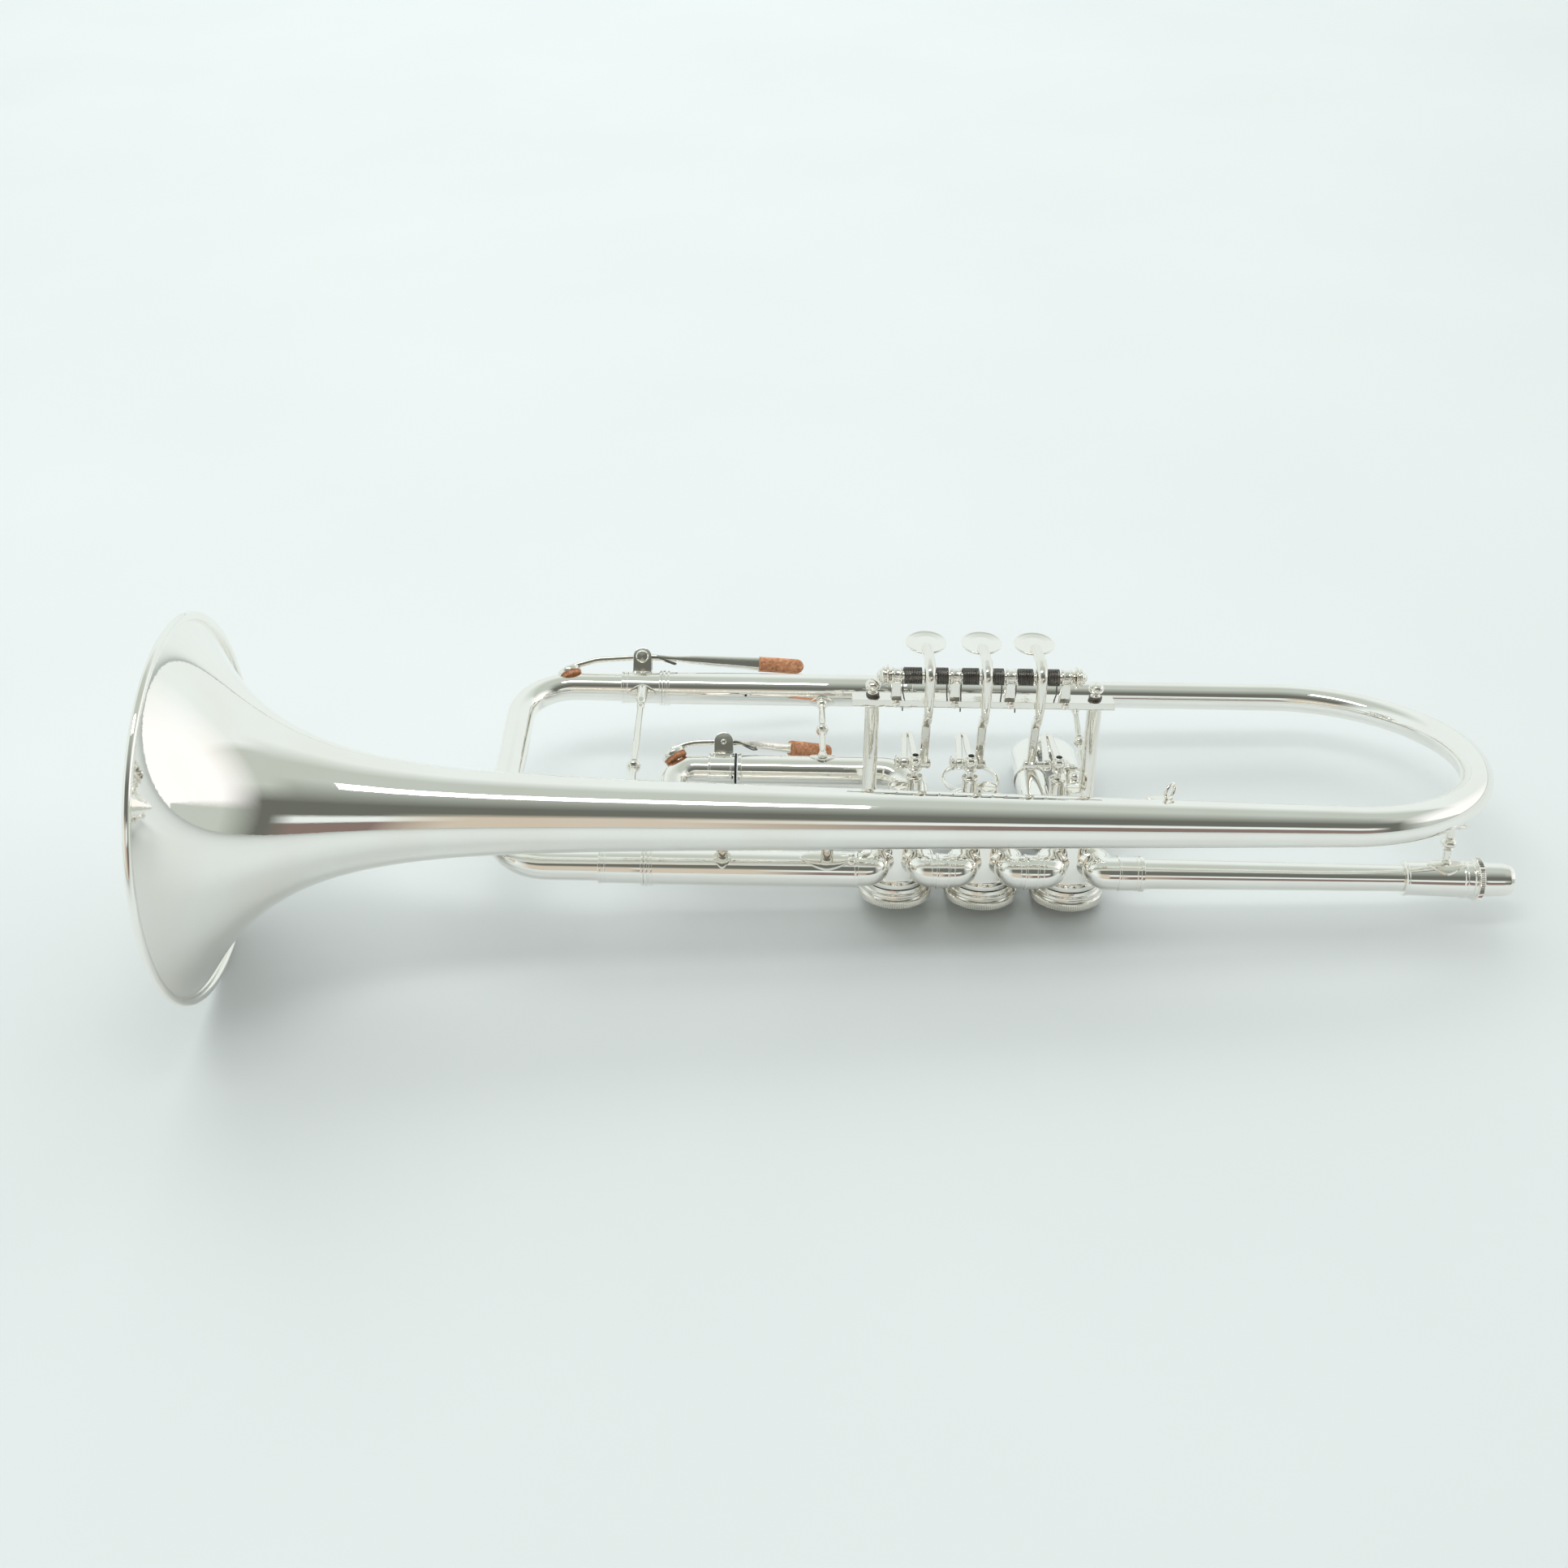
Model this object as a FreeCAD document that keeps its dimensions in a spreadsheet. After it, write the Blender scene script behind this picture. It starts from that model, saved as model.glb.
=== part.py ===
import FreeCAD, Part
import math
import os
import re
import Sketcher

# A three-valve rotary flugelhorn, silver-plated, lying on a table on its bell rim, its bottom
# valve caps and the crook of its first valve slide. Millimetres.
#
# Everything is drawn in the horn's own frame and then laid down as one piece:
#   X runs along the bell axis from the bell mouth towards the mouthpiece receiver,
#   Y points from the bell tail towards the upper tube,
#   Z runs along the valve axes from the bottom caps to the finger plates.
#   The origin is the middle valve's axis at the level of the bottom caps.
# LAID, at the end of the dimensions, turns that frame into the row frame: +Z up from the table.

Vector = FreeCAD.Vector
Rotation = FreeCAD.Rotation
Placement = FreeCAD.Placement

X_AXIS = Vector(1, 0, 0)
Y_AXIS = Vector(0, 1, 0)
Z_AXIS = Vector(0, 0, 1)

DIMENSIONS = {
    # How the horn lies.
    "laid_roll": (10.05, "valve tops lean back from the vertical, degrees"),
    "laid_pitch": (2.45, "receiver end lower than the bell axis, degrees"),
    "laid_lift": (3.65, "origin of the horn frame above the table"),
    "laid_along": (-44.897, "row origin along the horn, from the middle valve"),
    "laid_back": (12.012, "row origin across the horn, from the middle valve"),
    # Bell.
    "bell_back": (-33, "bell axis, Y"),
    "bell_height": (49.2, "bell axis, Z"),
    "bell_mouth": (-286, "plane of the rim, X"),
    "bell_radius": (70, "outer radius of the rim"),
    "rim_bead": (1.5, "radius of the rolled rim"),
    "bell_wall": (0.6, "sheet thickness"),
    "throat_radius": (15.63, "radius of the tail's cone carried back to the rim"),
    "tail_slope": (0.0201, "radius lost per millimetre of tail"),
    "flare_reach": (27.9, "distance in which the flare dies away"),
    "flare_sharpness": (0.94, "exponent of the flare"),
    "flare_length": (100, "length of the flared piece"),
    "bow_start": (126.2, "end of the tail and start of the bow, X"),
    # Upper tube, from the bow to the main tuning slide.
    "upper_back": (91.5, "upper tube axis, Y"),
    "upper_height": (43.5, "upper tube axis, Z"),
    "upper_radius": (5.25, "outer radius beside the valves"),
    "bow_end_radius": (5.6, "outer radius at the bow"),
    "upper_end": (-28, "where the upper tube enters its outer slide tube, X"),
    # Lower line: leadpipe, valves and lower slide leg.
    "line_back": (-16.5, "leadpipe axis, Y"),
    "line_height": (19.2, "leadpipe and port axis, Z"),
    "leadpipe_radius": (5.7, "outer radius at the valves"),
    "leadpipe_tip_radius": (5.0, "outer radius at the receiver"),
    "leadpipe_end": (154, "where the receiver starts, X"),
    "thin_wall": (0.5, "tube wall"),
    "receiver_end": (194.2, "open end of the receiver, X"),
    "shank_bore": (4.9, "radius of the bore that takes the mouthpiece shank"),
    "shank_depth": (24, "length of that bore"),
    # Main tuning slide.
    "slide_radius": (6.7, "outer tubes of the main slide, outer radius"),
    "slide_leg_radius": (6.15, "inner legs, outer radius"),
    "slide_fit": (0.05, "radial clearance of every slide"),
    "slide_mouth": (-126.7, "open ends of the outer tubes, X"),
    "slide_leg_end": (-62, "free ends of the inner legs, X"),
    "crook_start": (-143.8, "where legs meet the crook, X"),
    "crook_radius": (5.7, "crook tube, outer radius"),
    "crook_bend": (40, "bend radius of the crook"),
    # Valves.
    "valve_pitch": (32.8, "distance between valve axes"),
    "casing_radius": (10.75, "rotor casing, outer radius"),
    "casing_bore": (9.5, "rotor casing, inner radius"),
    "casing_bottom": (8, "lower edge of the casing, Z"),
    "casing_top": (31, "upper edge of the casing, Z"),
    "casing_foot": (12.2, "flange at the foot of the casing, radius"),
    "port_bore": (5.2, "radius of the ports"),
    "rotor_radius": (9.45, "rotor"),
    "rotor_bottom": (9.2, "lower face of the rotor, Z"),
    "rotor_top": (27.6, "upper face of the rotor, Z"),
    "passage_radius": (3.3, "bore of the rotor's two passages"),
    "spindle_radius": (2.95, "rotor spindle"),
    "bearing_hole": (3.0, "hole in the bearing plates"),
    "cap_radius": (13.85, "knurled ring of the bottom cap"),
    "cap_height": (7.6, "bottom cap"),
    "plate_top": (33, "top of the stop plate, Z"),
    "hub_radius": (4.05, "stop-arm hub"),
    "hub_top": (46.3, "slotted top of the hub, Z"),
    "arm_bottom": (35, "underside of the stop arm, Z"),
    "arm_top": (38.5, "top of the stop arm, Z"),
    "arm_width": (5, "stop arm"),
    "stud_offset": (6.0, "ball stud from the valve axis along X and along Y at rest"),
    "stud_radius": (3.1, "ball stud"),
    "stud_top": (47.4, "shoulder of the ball stud, Z"),
    "neck_radius": (1.2, "neck of the ball stud"),
    "neck_top": (49.9, "top of the neck, Z"),
    "cork_radius": (1.5, "stop corks"),
    # Knuckles between the valves.
    "knuckle_radius": (6.1, "knuckle tube, outer radius"),
    "knuckle_bend": (6.4, "bend radius of the knuckles"),
    "knuckle_side": (9.1, "knuckle leg from the valve axis, X"),
    "knuckle_front": (-10.1, "knuckle leg joint, Y"),
    # Valve slides.
    "loop_radius": (6.3, "outer tubes of the valve slides, outer radius"),
    "loop_leg_radius": (5.75, "inner legs and crooks, outer radius"),
    "loop_side": (8.1, "leg of a valve slide from the valve axis, X"),
    "loop_back": (9.6, "joint at the back ports, Y"),
    "first_loop_reach": (88, "centre line of the first slide's crook, Y"),
    "first_loop_mouth": (60, "open end of the first slide's outer tubes, Y"),
    "second_loop_reach": (40.5, "centre line of the second slide's crook, Y"),
    "second_loop_mouth": (26, "open end of the second slide's outer tubes, Y"),
    "ring_radius": (11, "pull ring of the second slide"),
    "ring_wire": (1.05, "wire of the pull ring"),
    "third_upper_back": (47, "third slide, outer leg, Y"),
    "third_upper_height": (27.7, "third slide, outer leg, Z"),
    "third_lower_back": (20.5, "third slide, inner leg, Y"),
    "third_mouth": (-94.3, "open ends of the third slide's outer tubes, X"),
    "third_crook": (-106, "start of the third slide's crook, X"),
    # Lever mechanism.
    "hinge_back": (5, "hinge rod, Y"),
    "hinge_height": (88.5, "hinge rod, Z"),
    "hinge_radius": (1.6, "hinge rod"),
    "hinge_left": (-38.6, "left end of the rod between its knobs, X"),
    "hinge_right": (31.2, "right end of the rod between its knobs, X"),
    "plate_left": (-51.3, "mechanism plate, X"),
    "plate_right": (44.7, "mechanism plate, X"),
    "plate_depth": (7, "mechanism plate across"),
    "plate_bottom": (77.4, "mechanism plate, underside Z"),
    "plate_thick": (2.6, "mechanism plate"),
    "pillar_radius": (2.7, "pillars"),
    "pillar_left": (-43.7, "left pillar, X"),
    "pillar_right": (38, "right pillar, X"),
    "pillar_back": (6, "pillars, Y"),
    "lever_radius": (1.7, "lever rod"),
    "sleeve_radius": (3.2, "lever sleeve and springs, outer radius"),
    "pin_back": (11, "lever pin at rest, Y"),
    "pin_height": (50.2, "lever pin at rest, Z"),
    "pin_radius": (1.1, "lever pin"),
    "link_height": (53.2, "ball of the link, Z"),
    "link_reach": (29.6, "far end of the link, Y"),
    "link_gap": (3.7, "distance between the two legs of a link at the pin"),
    "link_far_gap": (2.6, "distance between the legs where they meet"),
    "link_rod": (1.15, "link rod radius"),
    "ball_radius": (2.5, "ball of the link"),
    "finger_radius": (7.7, "finger plates"),
    "finger_back": (27, "centre of the finger plates, Y"),
    "finger_height": (91.3, "centre of the finger plates, Z"),
    "finger_lean": (10, "degrees each finger plate leans towards the bell tail"),
    # Water keys.
    "main_key_reach": (12.6, "main water key's pivot from its slide leg's axis"),
    "third_key_reach": (11.2, "third slide water key's pivot from its slide leg's axis"),
    "key_screw_radius": (1.0, "pivot screws"),
    "pad_radius": (4.6, "cork pads"),
    "grip_radius": (3.6, "cork grips"),
}

doc = FreeCAD.newDocument("rotary_flugelhorn")
sheet = doc.addObject("Spreadsheet::Sheet", "Dims")
for row, (alias, (value, meaning)) in enumerate(DIMENSIONS.items(), start=1):
    sheet.set(f"A{row}", meaning)
    sheet.set(f"B{row}", str(value))
    sheet.setAlias(f"B{row}", alias)
doc.recompute()

nodes = []


def dim(alias):
    """The number in one cell of the sheet."""
    return float(sheet.get(alias))


def number(expression):
    """The value of an expression over the sheet's cells, or of a plain number."""
    return float(sheet.evalExpression(str(expression)))


def bind(item, prop, expression):
    """Bind a property to the sheet. Aliases are written bare and get their sheet's name here."""

    def in_sheet(match):
        word = match.group()
        return f"Dims.{word}" if word in DIMENSIONS else word

    item.setExpression(prop, re.sub(r"[a-z_]+", in_sheet, str(expression)))


def keep(item, label):
    """Name a finished sub-part. Its label is its file's name."""
    item.Label = label
    nodes.append(item)
    return item


def facing(point, direction):
    """A placement whose local Z runs along the direction."""
    return Placement(point, Rotation(Z_AXIS, direction))


def cylinder(radius, start, end):
    """A round bar between two points, its radius bound to the sheet."""
    bar = doc.addObject("Part::Cylinder", "bar")
    bind(bar, "Radius", radius)
    bar.Height = (end - start).Length
    bar.Placement = facing(start, end - start)
    return bar


def cone(start_radius, end_radius, start, end):
    """A tapered bar between two points."""
    bar = doc.addObject("Part::Cone", "taper")
    bind(bar, "Radius1", start_radius)
    bind(bar, "Radius2", end_radius)
    bar.Height = (end - start).Length
    bar.Placement = facing(start, end - start)
    return bar


def ball(radius, centre):
    """A sphere."""
    item = doc.addObject("Part::Sphere", "ball")
    bind(item, "Radius", radius)
    item.Placement = Placement(centre, Rotation())
    return item


def block(low, high):
    """A box between two corners."""
    item = doc.addObject("Part::Box", "block")
    item.Length = high.x - low.x
    item.Width = high.y - low.y
    item.Height = high.z - low.z
    item.Placement = Placement(low, Rotation())
    return item


def fuse(*items):
    """One solid from several that overlap."""
    if len(items) == 1:
        return items[0]
    joined = doc.addObject("Part::MultiFuse", "joined")
    joined.Shapes = list(items)
    return joined


def cut(base, *tools):
    """The base with the tools taken away."""
    result = doc.addObject("Part::Cut", "hollowed")
    result.Base = base
    result.Tool = fuse(*tools)
    return result


def group(*items):
    """Separate solids kept in one node."""
    several = doc.addObject("Part::Compound", "several")
    several.Links = list(items)
    return several


def rounded_wire(points, radius):
    """Straight runs through the points, with an arc of the given radius at each corner."""
    edges = []
    cursor = points[0]
    for before, corner, after in zip(points, points[1:], points[2:]):
        into = (corner - before).normalize()
        out = (after - corner).normalize()
        half_turn = into.getAngle(out) / 2
        setback = radius * math.tan(half_turn)
        inward = (out - into).normalize()
        start = corner - into * setback
        middle = corner + inward * (radius / math.cos(half_turn) - radius)
        end = corner + out * setback
        if (start - cursor).Length > 1e-3:
            edges.append(Part.LineSegment(cursor, start).toShape())
        edges.append(Part.Arc(start, middle, end).toShape())
        cursor = end
    if (points[-1] - cursor).Length > 1e-3:
        edges.append(Part.LineSegment(cursor, points[-1]).toShape())
    return Part.Wire(edges)


def sweep(radius, wire, end_radius=None):
    """A round bar along a wire, tapering to the end radius where one is given."""
    spine = doc.addObject("Part::Feature", "spine")
    spine.Shape = wire
    edges = wire.OrderedEdges
    first, last = edges[0], edges[-1]
    ends = [(radius, first.valueAt(first.FirstParameter), first.tangentAt(first.FirstParameter))]
    if end_radius is not None:
        ends.append((end_radius, last.valueAt(last.LastParameter), last.tangentAt(last.LastParameter)))
    rings = []
    for size, point, direction in ends:
        ring = doc.addObject("Part::Circle", "ring")
        bind(ring, "Radius", size)
        ring.Placement = facing(point, direction)
        rings.append(ring)
    bar = doc.addObject("Part::Sweep", "bent_bar")
    bar.Sections = rings
    bar.Spine = (spine, [f"Edge{i + 1}" for i in range(len(wire.Edges))])
    bar.Solid = True
    bar.Frenet = False
    return bar


def straight_tube(outer, inner, start, end):
    """A straight tube."""
    return cut(cylinder(outer, start, end), cylinder(inner, start, end))


def origin_plane(body, role):
    """One of a body's own origin planes."""
    return next(item for item in body.Origin.OriginFeatures if item.Role == role)


def turned(profile, point, direction):
    """A lathe part: the profile gives (distance along the axis, radius) corners in order."""
    body = doc.addObject("PartDesign::Body", "turned")
    sketch = body.newObject("Sketcher::SketchObject", "profile")
    sketch.AttachmentSupport = [(origin_plane(body, "XZ_Plane"), "")]
    sketch.MapMode = "FlatFace"
    corners = [Vector(number(along), number(radius), 0) for along, radius in profile]
    count = len(corners)
    for i in range(count):
        sketch.addGeometry(Part.LineSegment(corners[i], corners[(i + 1) % count]), False)
    for i in range(count):
        sketch.addConstraint(Sketcher.Constraint("Coincident", i, 2, (i + 1) % count, 1))
    for i, (along, radius) in enumerate(profile):
        for kind, expression, value in (
            ("DistanceX", along, corners[i].x),
            ("DistanceY", radius, corners[i].y),
        ):
            index = sketch.addConstraint(Sketcher.Constraint(kind, -1, 1, i, 1, value))
            if any(alias in str(expression) for alias in DIMENSIONS):
                bind(sketch, f"Constraints[{index}]", expression)
    turn = body.newObject("PartDesign::Revolution", "turn")
    turn.Profile = sketch
    turn.ReferenceAxis = (sketch, ["H_Axis"])
    turn.Angle = 360
    body.Placement = Placement(point, Rotation(X_AXIS, direction))
    return body


def plate(outline, thickness, point):
    """A flat plate: a closed outline in X and Y, padded up by its thickness."""
    body = doc.addObject("PartDesign::Body", "plate")
    sketch = body.newObject("Sketcher::SketchObject", "outline")
    sketch.AttachmentSupport = [(origin_plane(body, "XY_Plane"), "")]
    sketch.MapMode = "FlatFace"
    corners = [Vector(number(along), number(across), 0) for along, across in outline]
    count = len(corners)
    for i in range(count):
        sketch.addGeometry(Part.LineSegment(corners[i], corners[(i + 1) % count]), False)
    for i in range(count):
        sketch.addConstraint(Sketcher.Constraint("Coincident", i, 2, (i + 1) % count, 1))
    for i, (along, across) in enumerate(outline):
        for kind, expression, value in (
            ("DistanceX", along, corners[i].x),
            ("DistanceY", across, corners[i].y),
        ):
            index = sketch.addConstraint(Sketcher.Constraint(kind, -1, 1, i, 1, value))
            if any(alias in str(expression) for alias in DIMENSIONS):
                bind(sketch, f"Constraints[{index}]", expression)
    pad = body.newObject("PartDesign::Pad", "pad")
    pad.Profile = sketch
    bind(pad, "Length", thickness)
    body.Placement = Placement(point, Rotation())
    return body


# ---------------------------------------------------------------- places used by several parts
BELL_AXIS = Vector(0, dim("bell_back"), dim("bell_height"))
UPPER_AXIS = Vector(0, dim("upper_back"), dim("upper_height"))
LINE_AXIS = Vector(0, dim("line_back"), dim("line_height"))
THIRD_UPPER = Vector(0, dim("third_upper_back"), dim("third_upper_height"))
THIRD_LOWER = Vector(0, dim("third_lower_back"), dim("line_height"))
HINGE = Vector(0, dim("hinge_back"), dim("hinge_height"))
PITCH = dim("valve_pitch")
# Hinge posts along X.
POSTS = (-35.2, -13.8, 6.4, 26.6)
# Water keys stand out from their slide legs, leaning back from the valve axes by these degrees.
MAIN_KEY_LEAN = 30
THIRD_KEY_LEAN = 30
# Valve 1 is the player's, nearest the receiver. Each: number, X, side its ball stud stands on,
# lever X, and X of the outer leg of its link.
VALVES = (
    (1, PITCH, -1, 17.0),
    (2, 0, -1, -2.7),
    (3, -PITCH, 1, -23.4),
)


def at(line, x):
    """The point of a line parallel to X at one X."""
    return Vector(x, line.y, line.z)


def casing_drum(x, radius="casing_radius"):
    """The space a rotor casing takes up, to trim what meets it."""
    bottom = dim("casing_bottom") - 2
    return cylinder(radius, Vector(x, 0, bottom), Vector(x, 0, dim("casing_top")))


def tube_with_ports(outer, wall, points, bend, ports):
    """A tube whose listed ends bend into valve ports: (valve X, joint point) for each."""
    skins = []
    for radius in (outer, f"{outer} - {wall}"):
        pieces = [sweep(radius, rounded_wire(points, bend))]
        for valve_x, joint in ports:
            pieces.append(ball(radius, joint))
            pieces.append(cylinder(radius, joint, Vector(valve_x, 0, joint.z)))
        skins.append(fuse(*pieces))
    drums = [casing_drum(valve_x) for valve_x, _ in ports]
    return cut(skins[0], skins[1], *drums)


# ---------------------------------------------------------------- bell
def bell_outline(distance):
    """Outer radius of the bell at a distance from its mouth: a cone and a flare that dies away."""
    flare = math.exp(-((distance / dim("flare_reach")) ** dim("flare_sharpness")))
    height = dim("bell_radius") - dim("throat_radius")
    return dim("throat_radius") - dim("tail_slope") * distance + height * flare


def bell_shell(stations):
    """The spun wall of the bell through distances from the mouth, about the X axis."""
    wall = dim("bell_wall")
    outer = [Vector(s, bell_outline(s), 0) for s in stations]
    inner = [Vector(s, bell_outline(s) - wall, 0) for s in stations]
    outside = Part.BSplineCurve()
    outside.interpolate(outer)
    inside = Part.BSplineCurve()
    inside.interpolate(inner)
    section = Part.Wire([
        outside.toShape(),
        Part.LineSegment(outer[-1], inner[-1]).toShape(),
        inside.toShape(),
        Part.LineSegment(inner[0], outer[0]).toShape(),
    ])
    return Part.Face(section).revolve(Vector(0, 0, 0), X_AXIS, 360)


def bell_feature(name, shape):
    """A finished length of the bell, moved to its place."""
    item = doc.addObject("Part::Feature", name)
    item.Shape = shape
    item.Placement = Placement(at(BELL_AXIS, dim("bell_mouth")), Rotation())
    keep(item, name)


def bow(inset=""):
    """The solid bow from the bell tail to the upper tube, or its bore where an inset is given."""
    end = at(BELL_AXIS, dim("bow_start"))
    far = at(UPPER_AXIS, dim("bow_start"))
    crown = (end + far) * 0.5 + X_AXIS * (far - end).Length / 2
    arc = Part.Wire([Part.Arc(end, crown, far).toShape()])
    end_radius = "throat_radius - tail_slope * (bow_start - bell_mouth)"
    return sweep(f"{end_radius}{inset}", arc, f"bow_end_radius{inset}")


def upper_cone(inset=""):
    """The solid upper tube, or its bore where an inset is given."""
    far = at(UPPER_AXIS, dim("bow_start"))
    entry = at(UPPER_AXIS, dim("upper_end"))
    return cone(f"bow_end_radius{inset}", f"upper_radius{inset}", far, entry)


def make_bell():
    """The flared bell, the tapering tail, the bow and the upper tube."""
    length = dim("flare_length")
    whole = dim("bow_start") - dim("bell_mouth")
    bead = dim("rim_bead")
    flare = bell_shell([bead * 0.8 + (length - bead * 0.8) * (i / 20) ** 2 for i in range(21)])
    rim = Part.makeTorus(dim("bell_radius") - bead, bead, Vector(bead, 0, 0), X_AXIS)
    bell_feature("bell_flare", flare.fuse(rim))
    bell_feature("bell_tail", bell_shell([length + (whole - length) * (i / 12) ** 2 for i in range(13)]))
    keep(cut(bow(), bow(" - bell_wall")), "bell_bow")
    entry = at(UPPER_AXIS, dim("upper_end"))
    collar = cylinder("slide_radius + 0.4", entry, entry + X_AXIS * 5)
    keep(cut(fuse(upper_cone(), collar), upper_cone(" - bell_wall")), "upper_tube")


# ---------------------------------------------------------------- leadpipe and receiver
def make_leadpipe():
    """The tapering leadpipe and the receiver that takes the mouthpiece."""
    start_x = PITCH + dim("knuckle_side") + dim("knuckle_bend")
    start = at(LINE_AXIS, start_x)
    end = at(LINE_AXIS, dim("leadpipe_end"))
    pipe = cut(
        cone("leadpipe_radius", "leadpipe_tip_radius", start, end),
        cone("leadpipe_radius - thin_wall", "leadpipe_tip_radius - thin_wall", start, end),
    )
    keep(pipe, "leadpipe")
    length = "receiver_end - leadpipe_end"
    receiver = turned(
        [
            (0, "leadpipe_tip_radius - thin_wall"),
            (0, 6.2),
            (0.5, 6.6),
            (1.1, 6.6),
            (1.3, 6.3),
            (2.0, 6.3),
            (21.3, 6.8),
            (21.6, 7.15),
            (22.4, 7.15),
            (22.7, 6.8),
            (25.0, 6.8),
            (25.2, 7.5),
            (25.9, 7.5),
            (26.2, 7.1),
            (26.6, 8.1),
            (28.4, 8.1),
            (28.8, 6.4),
            (31.0, 6.35),
            (36.0, 6.2),
            (f"{length} - 1.6", 5.9),
            (f"{length} - 0.4", 5.5),
            (length, 5.2),
            (length, "shank_bore"),
            (f"{length} - shank_depth", "shank_bore"),
            (f"{length} - shank_depth", "leadpipe_tip_radius - thin_wall"),
        ],
        end,
        X_AXIS,
    )
    keep(receiver, "mouthpiece_receiver")


# ---------------------------------------------------------------- valves
def port_joints(valve_x):
    """The four points where tubes turn into one valve's ports."""
    height = dim("line_height")
    front = dim("knuckle_front")
    back = dim("loop_back")
    return {
        "front_left": Vector(valve_x - dim("knuckle_side"), front, height),
        "front_right": Vector(valve_x + dim("knuckle_side"), front, height),
        "back_left": Vector(valve_x - dim("loop_side"), back, height),
        "back_right": Vector(valve_x + dim("loop_side"), back, height),
    }


def make_casing(number_, x):
    """A rotor casing: a drum with a foot flange and four ports."""
    foot = Vector(x, 0, dim("casing_bottom"))
    top = Vector(x, 0, dim("casing_top"))
    drum = fuse(
        cylinder("casing_radius", foot, top),
        cylinder("casing_foot", foot, foot + Z_AXIS * 2),
    )
    bore = cylinder("casing_bore", foot, top)
    axis_point = Vector(x, 0, dim("line_height"))
    holes = [cylinder("port_bore", axis_point, joint) for joint in port_joints(x).values()]
    keep(cut(drum, bore, *holes), f"rotor_casing_{number_}")


def make_cap(number_, x):
    """A bottom cap with a knurled ring, hollow above its floor."""
    cap = turned(
        [
            (0, 0),
            (0, "cap_radius - 1.4"),
            (0.5, "cap_radius - 0.5"),
            (0.9, "cap_radius"),
            (3.1, "cap_radius"),
            (3.5, "cap_radius - 0.5"),
            (4.2, "cap_radius - 0.9"),
            (5.6, "cap_radius - 0.9"),
            (6.0, "cap_radius - 1.6"),
            ("cap_height", "cap_radius - 1.7"),
            ("cap_height", "casing_bore"),
            (2.4, "casing_bore"),
            (2.4, 0),
        ],
        Vector(x, 0, 0),
        Z_AXIS,
    )
    keep(cap, f"bottom_cap_{number_}")


def make_rotor(number_, x, side):
    """A rotor with two passages, its spindle, slotted hub, stop arm and ball stud."""
    height = dim("line_height")
    reach = dim("casing_radius")
    near = 4.1
    joints = port_joints(x)
    passages = []
    for left, right, turn_y in (
        ("front_left", "front_right", -near),
        ("back_left", "back_right", near),
    ):
        ends = []
        for name in (left, right):
            away = joints[name] - Vector(x, 0, height)
            ends.append(Vector(x, 0, height) + away.normalize() * reach)
        wire = rounded_wire([ends[0], Vector(x, turn_y, height), ends[1]], 4.5)
        passages.append(sweep("passage_radius", wire))
    barrel = cylinder(
        "rotor_radius", Vector(x, 0, dim("rotor_bottom")), Vector(x, 0, dim("rotor_top"))
    )
    spindle = cylinder("spindle_radius", Vector(x, 0, 3.2), Vector(x, 0, dim("hub_top") - 8))
    keep(fuse(cut(barrel, *passages), spindle), f"rotor_{number_}")

    hub = cylinder("hub_radius", Vector(x, 0, dim("plate_top") + 0.4), Vector(x, 0, dim("hub_top")))
    slot = block(
        Vector(x - 5, -0.45, dim("hub_top") - 1.2), Vector(x + 5, 0.45, dim("hub_top") + 1)
    )
    seat = cylinder("spindle_radius", Vector(x, 0, 30), Vector(x, 0, dim("hub_top") - 8))
    offset = dim("stud_offset")
    stud_foot = Vector(x + side * offset, offset, dim("arm_bottom"))
    stud = cylinder("stud_radius", stud_foot, Vector(stud_foot.x, offset, dim("stud_top")))
    neck = cylinder("neck_radius", stud_foot, Vector(stud_foot.x, offset, dim("neck_top")))
    arm = doc.addObject("Part::Box", "arm")
    bind(arm, "Width", "arm_width")
    bind(arm, "Height", "arm_top - arm_bottom")
    arm.Length = offset * math.sqrt(2)
    turn = Rotation(Z_AXIS, 45 if side > 0 else 135)
    corner = Vector(x, 0, dim("arm_bottom")) + turn.multVec(Vector(0, -dim("arm_width") / 2, 0))
    arm.Placement = Placement(corner, turn)
    keep(cut(fuse(hub, arm, stud, neck), slot, seat), f"stop_arm_{number_}")


def make_valves():
    """Casings, caps, bearing plates, stop plates with corks, and rotors."""
    bearings = []
    stops = []
    corks = []
    for index, x, side, _ in VALVES:
        make_casing(index, x)
        make_cap(index, x)
        make_rotor(index, x, side)
        for low, high in ((dim("casing_bottom") - 1.8, 9.0), (27.8, dim("casing_top") - 0.6)):
            disc = cylinder("casing_bore", Vector(x, 0, low), Vector(x, 0, high))
            hole = cylinder("bearing_hole", Vector(x, 0, low), Vector(x, 0, high))
            bearings.append(cut(disc, hole))
        base = Vector(x, 0, dim("casing_top"))
        top = Vector(x, 0, dim("plate_top"))
        stops.append(
            cut(cylinder("casing_radius - 0.3", base, top), cylinder("bearing_hole + 0.3", base, top))
        )
        stud_circle = dim("stud_offset") * math.sqrt(2)
        for end in (-1, 1):
            angle = math.radians(77.6 * end)
            centre = Vector(
                x + side * stud_circle * math.cos(angle), stud_circle * math.sin(angle), top.z
            )
            corks.append(cylinder("cork_radius", centre, centre + Z_AXIS * 3.8))
    keep(group(*bearings), "bearing_plates")
    keep(group(*stops), "stop_plates")
    keep(group(*corks), "stop_corks")


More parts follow.
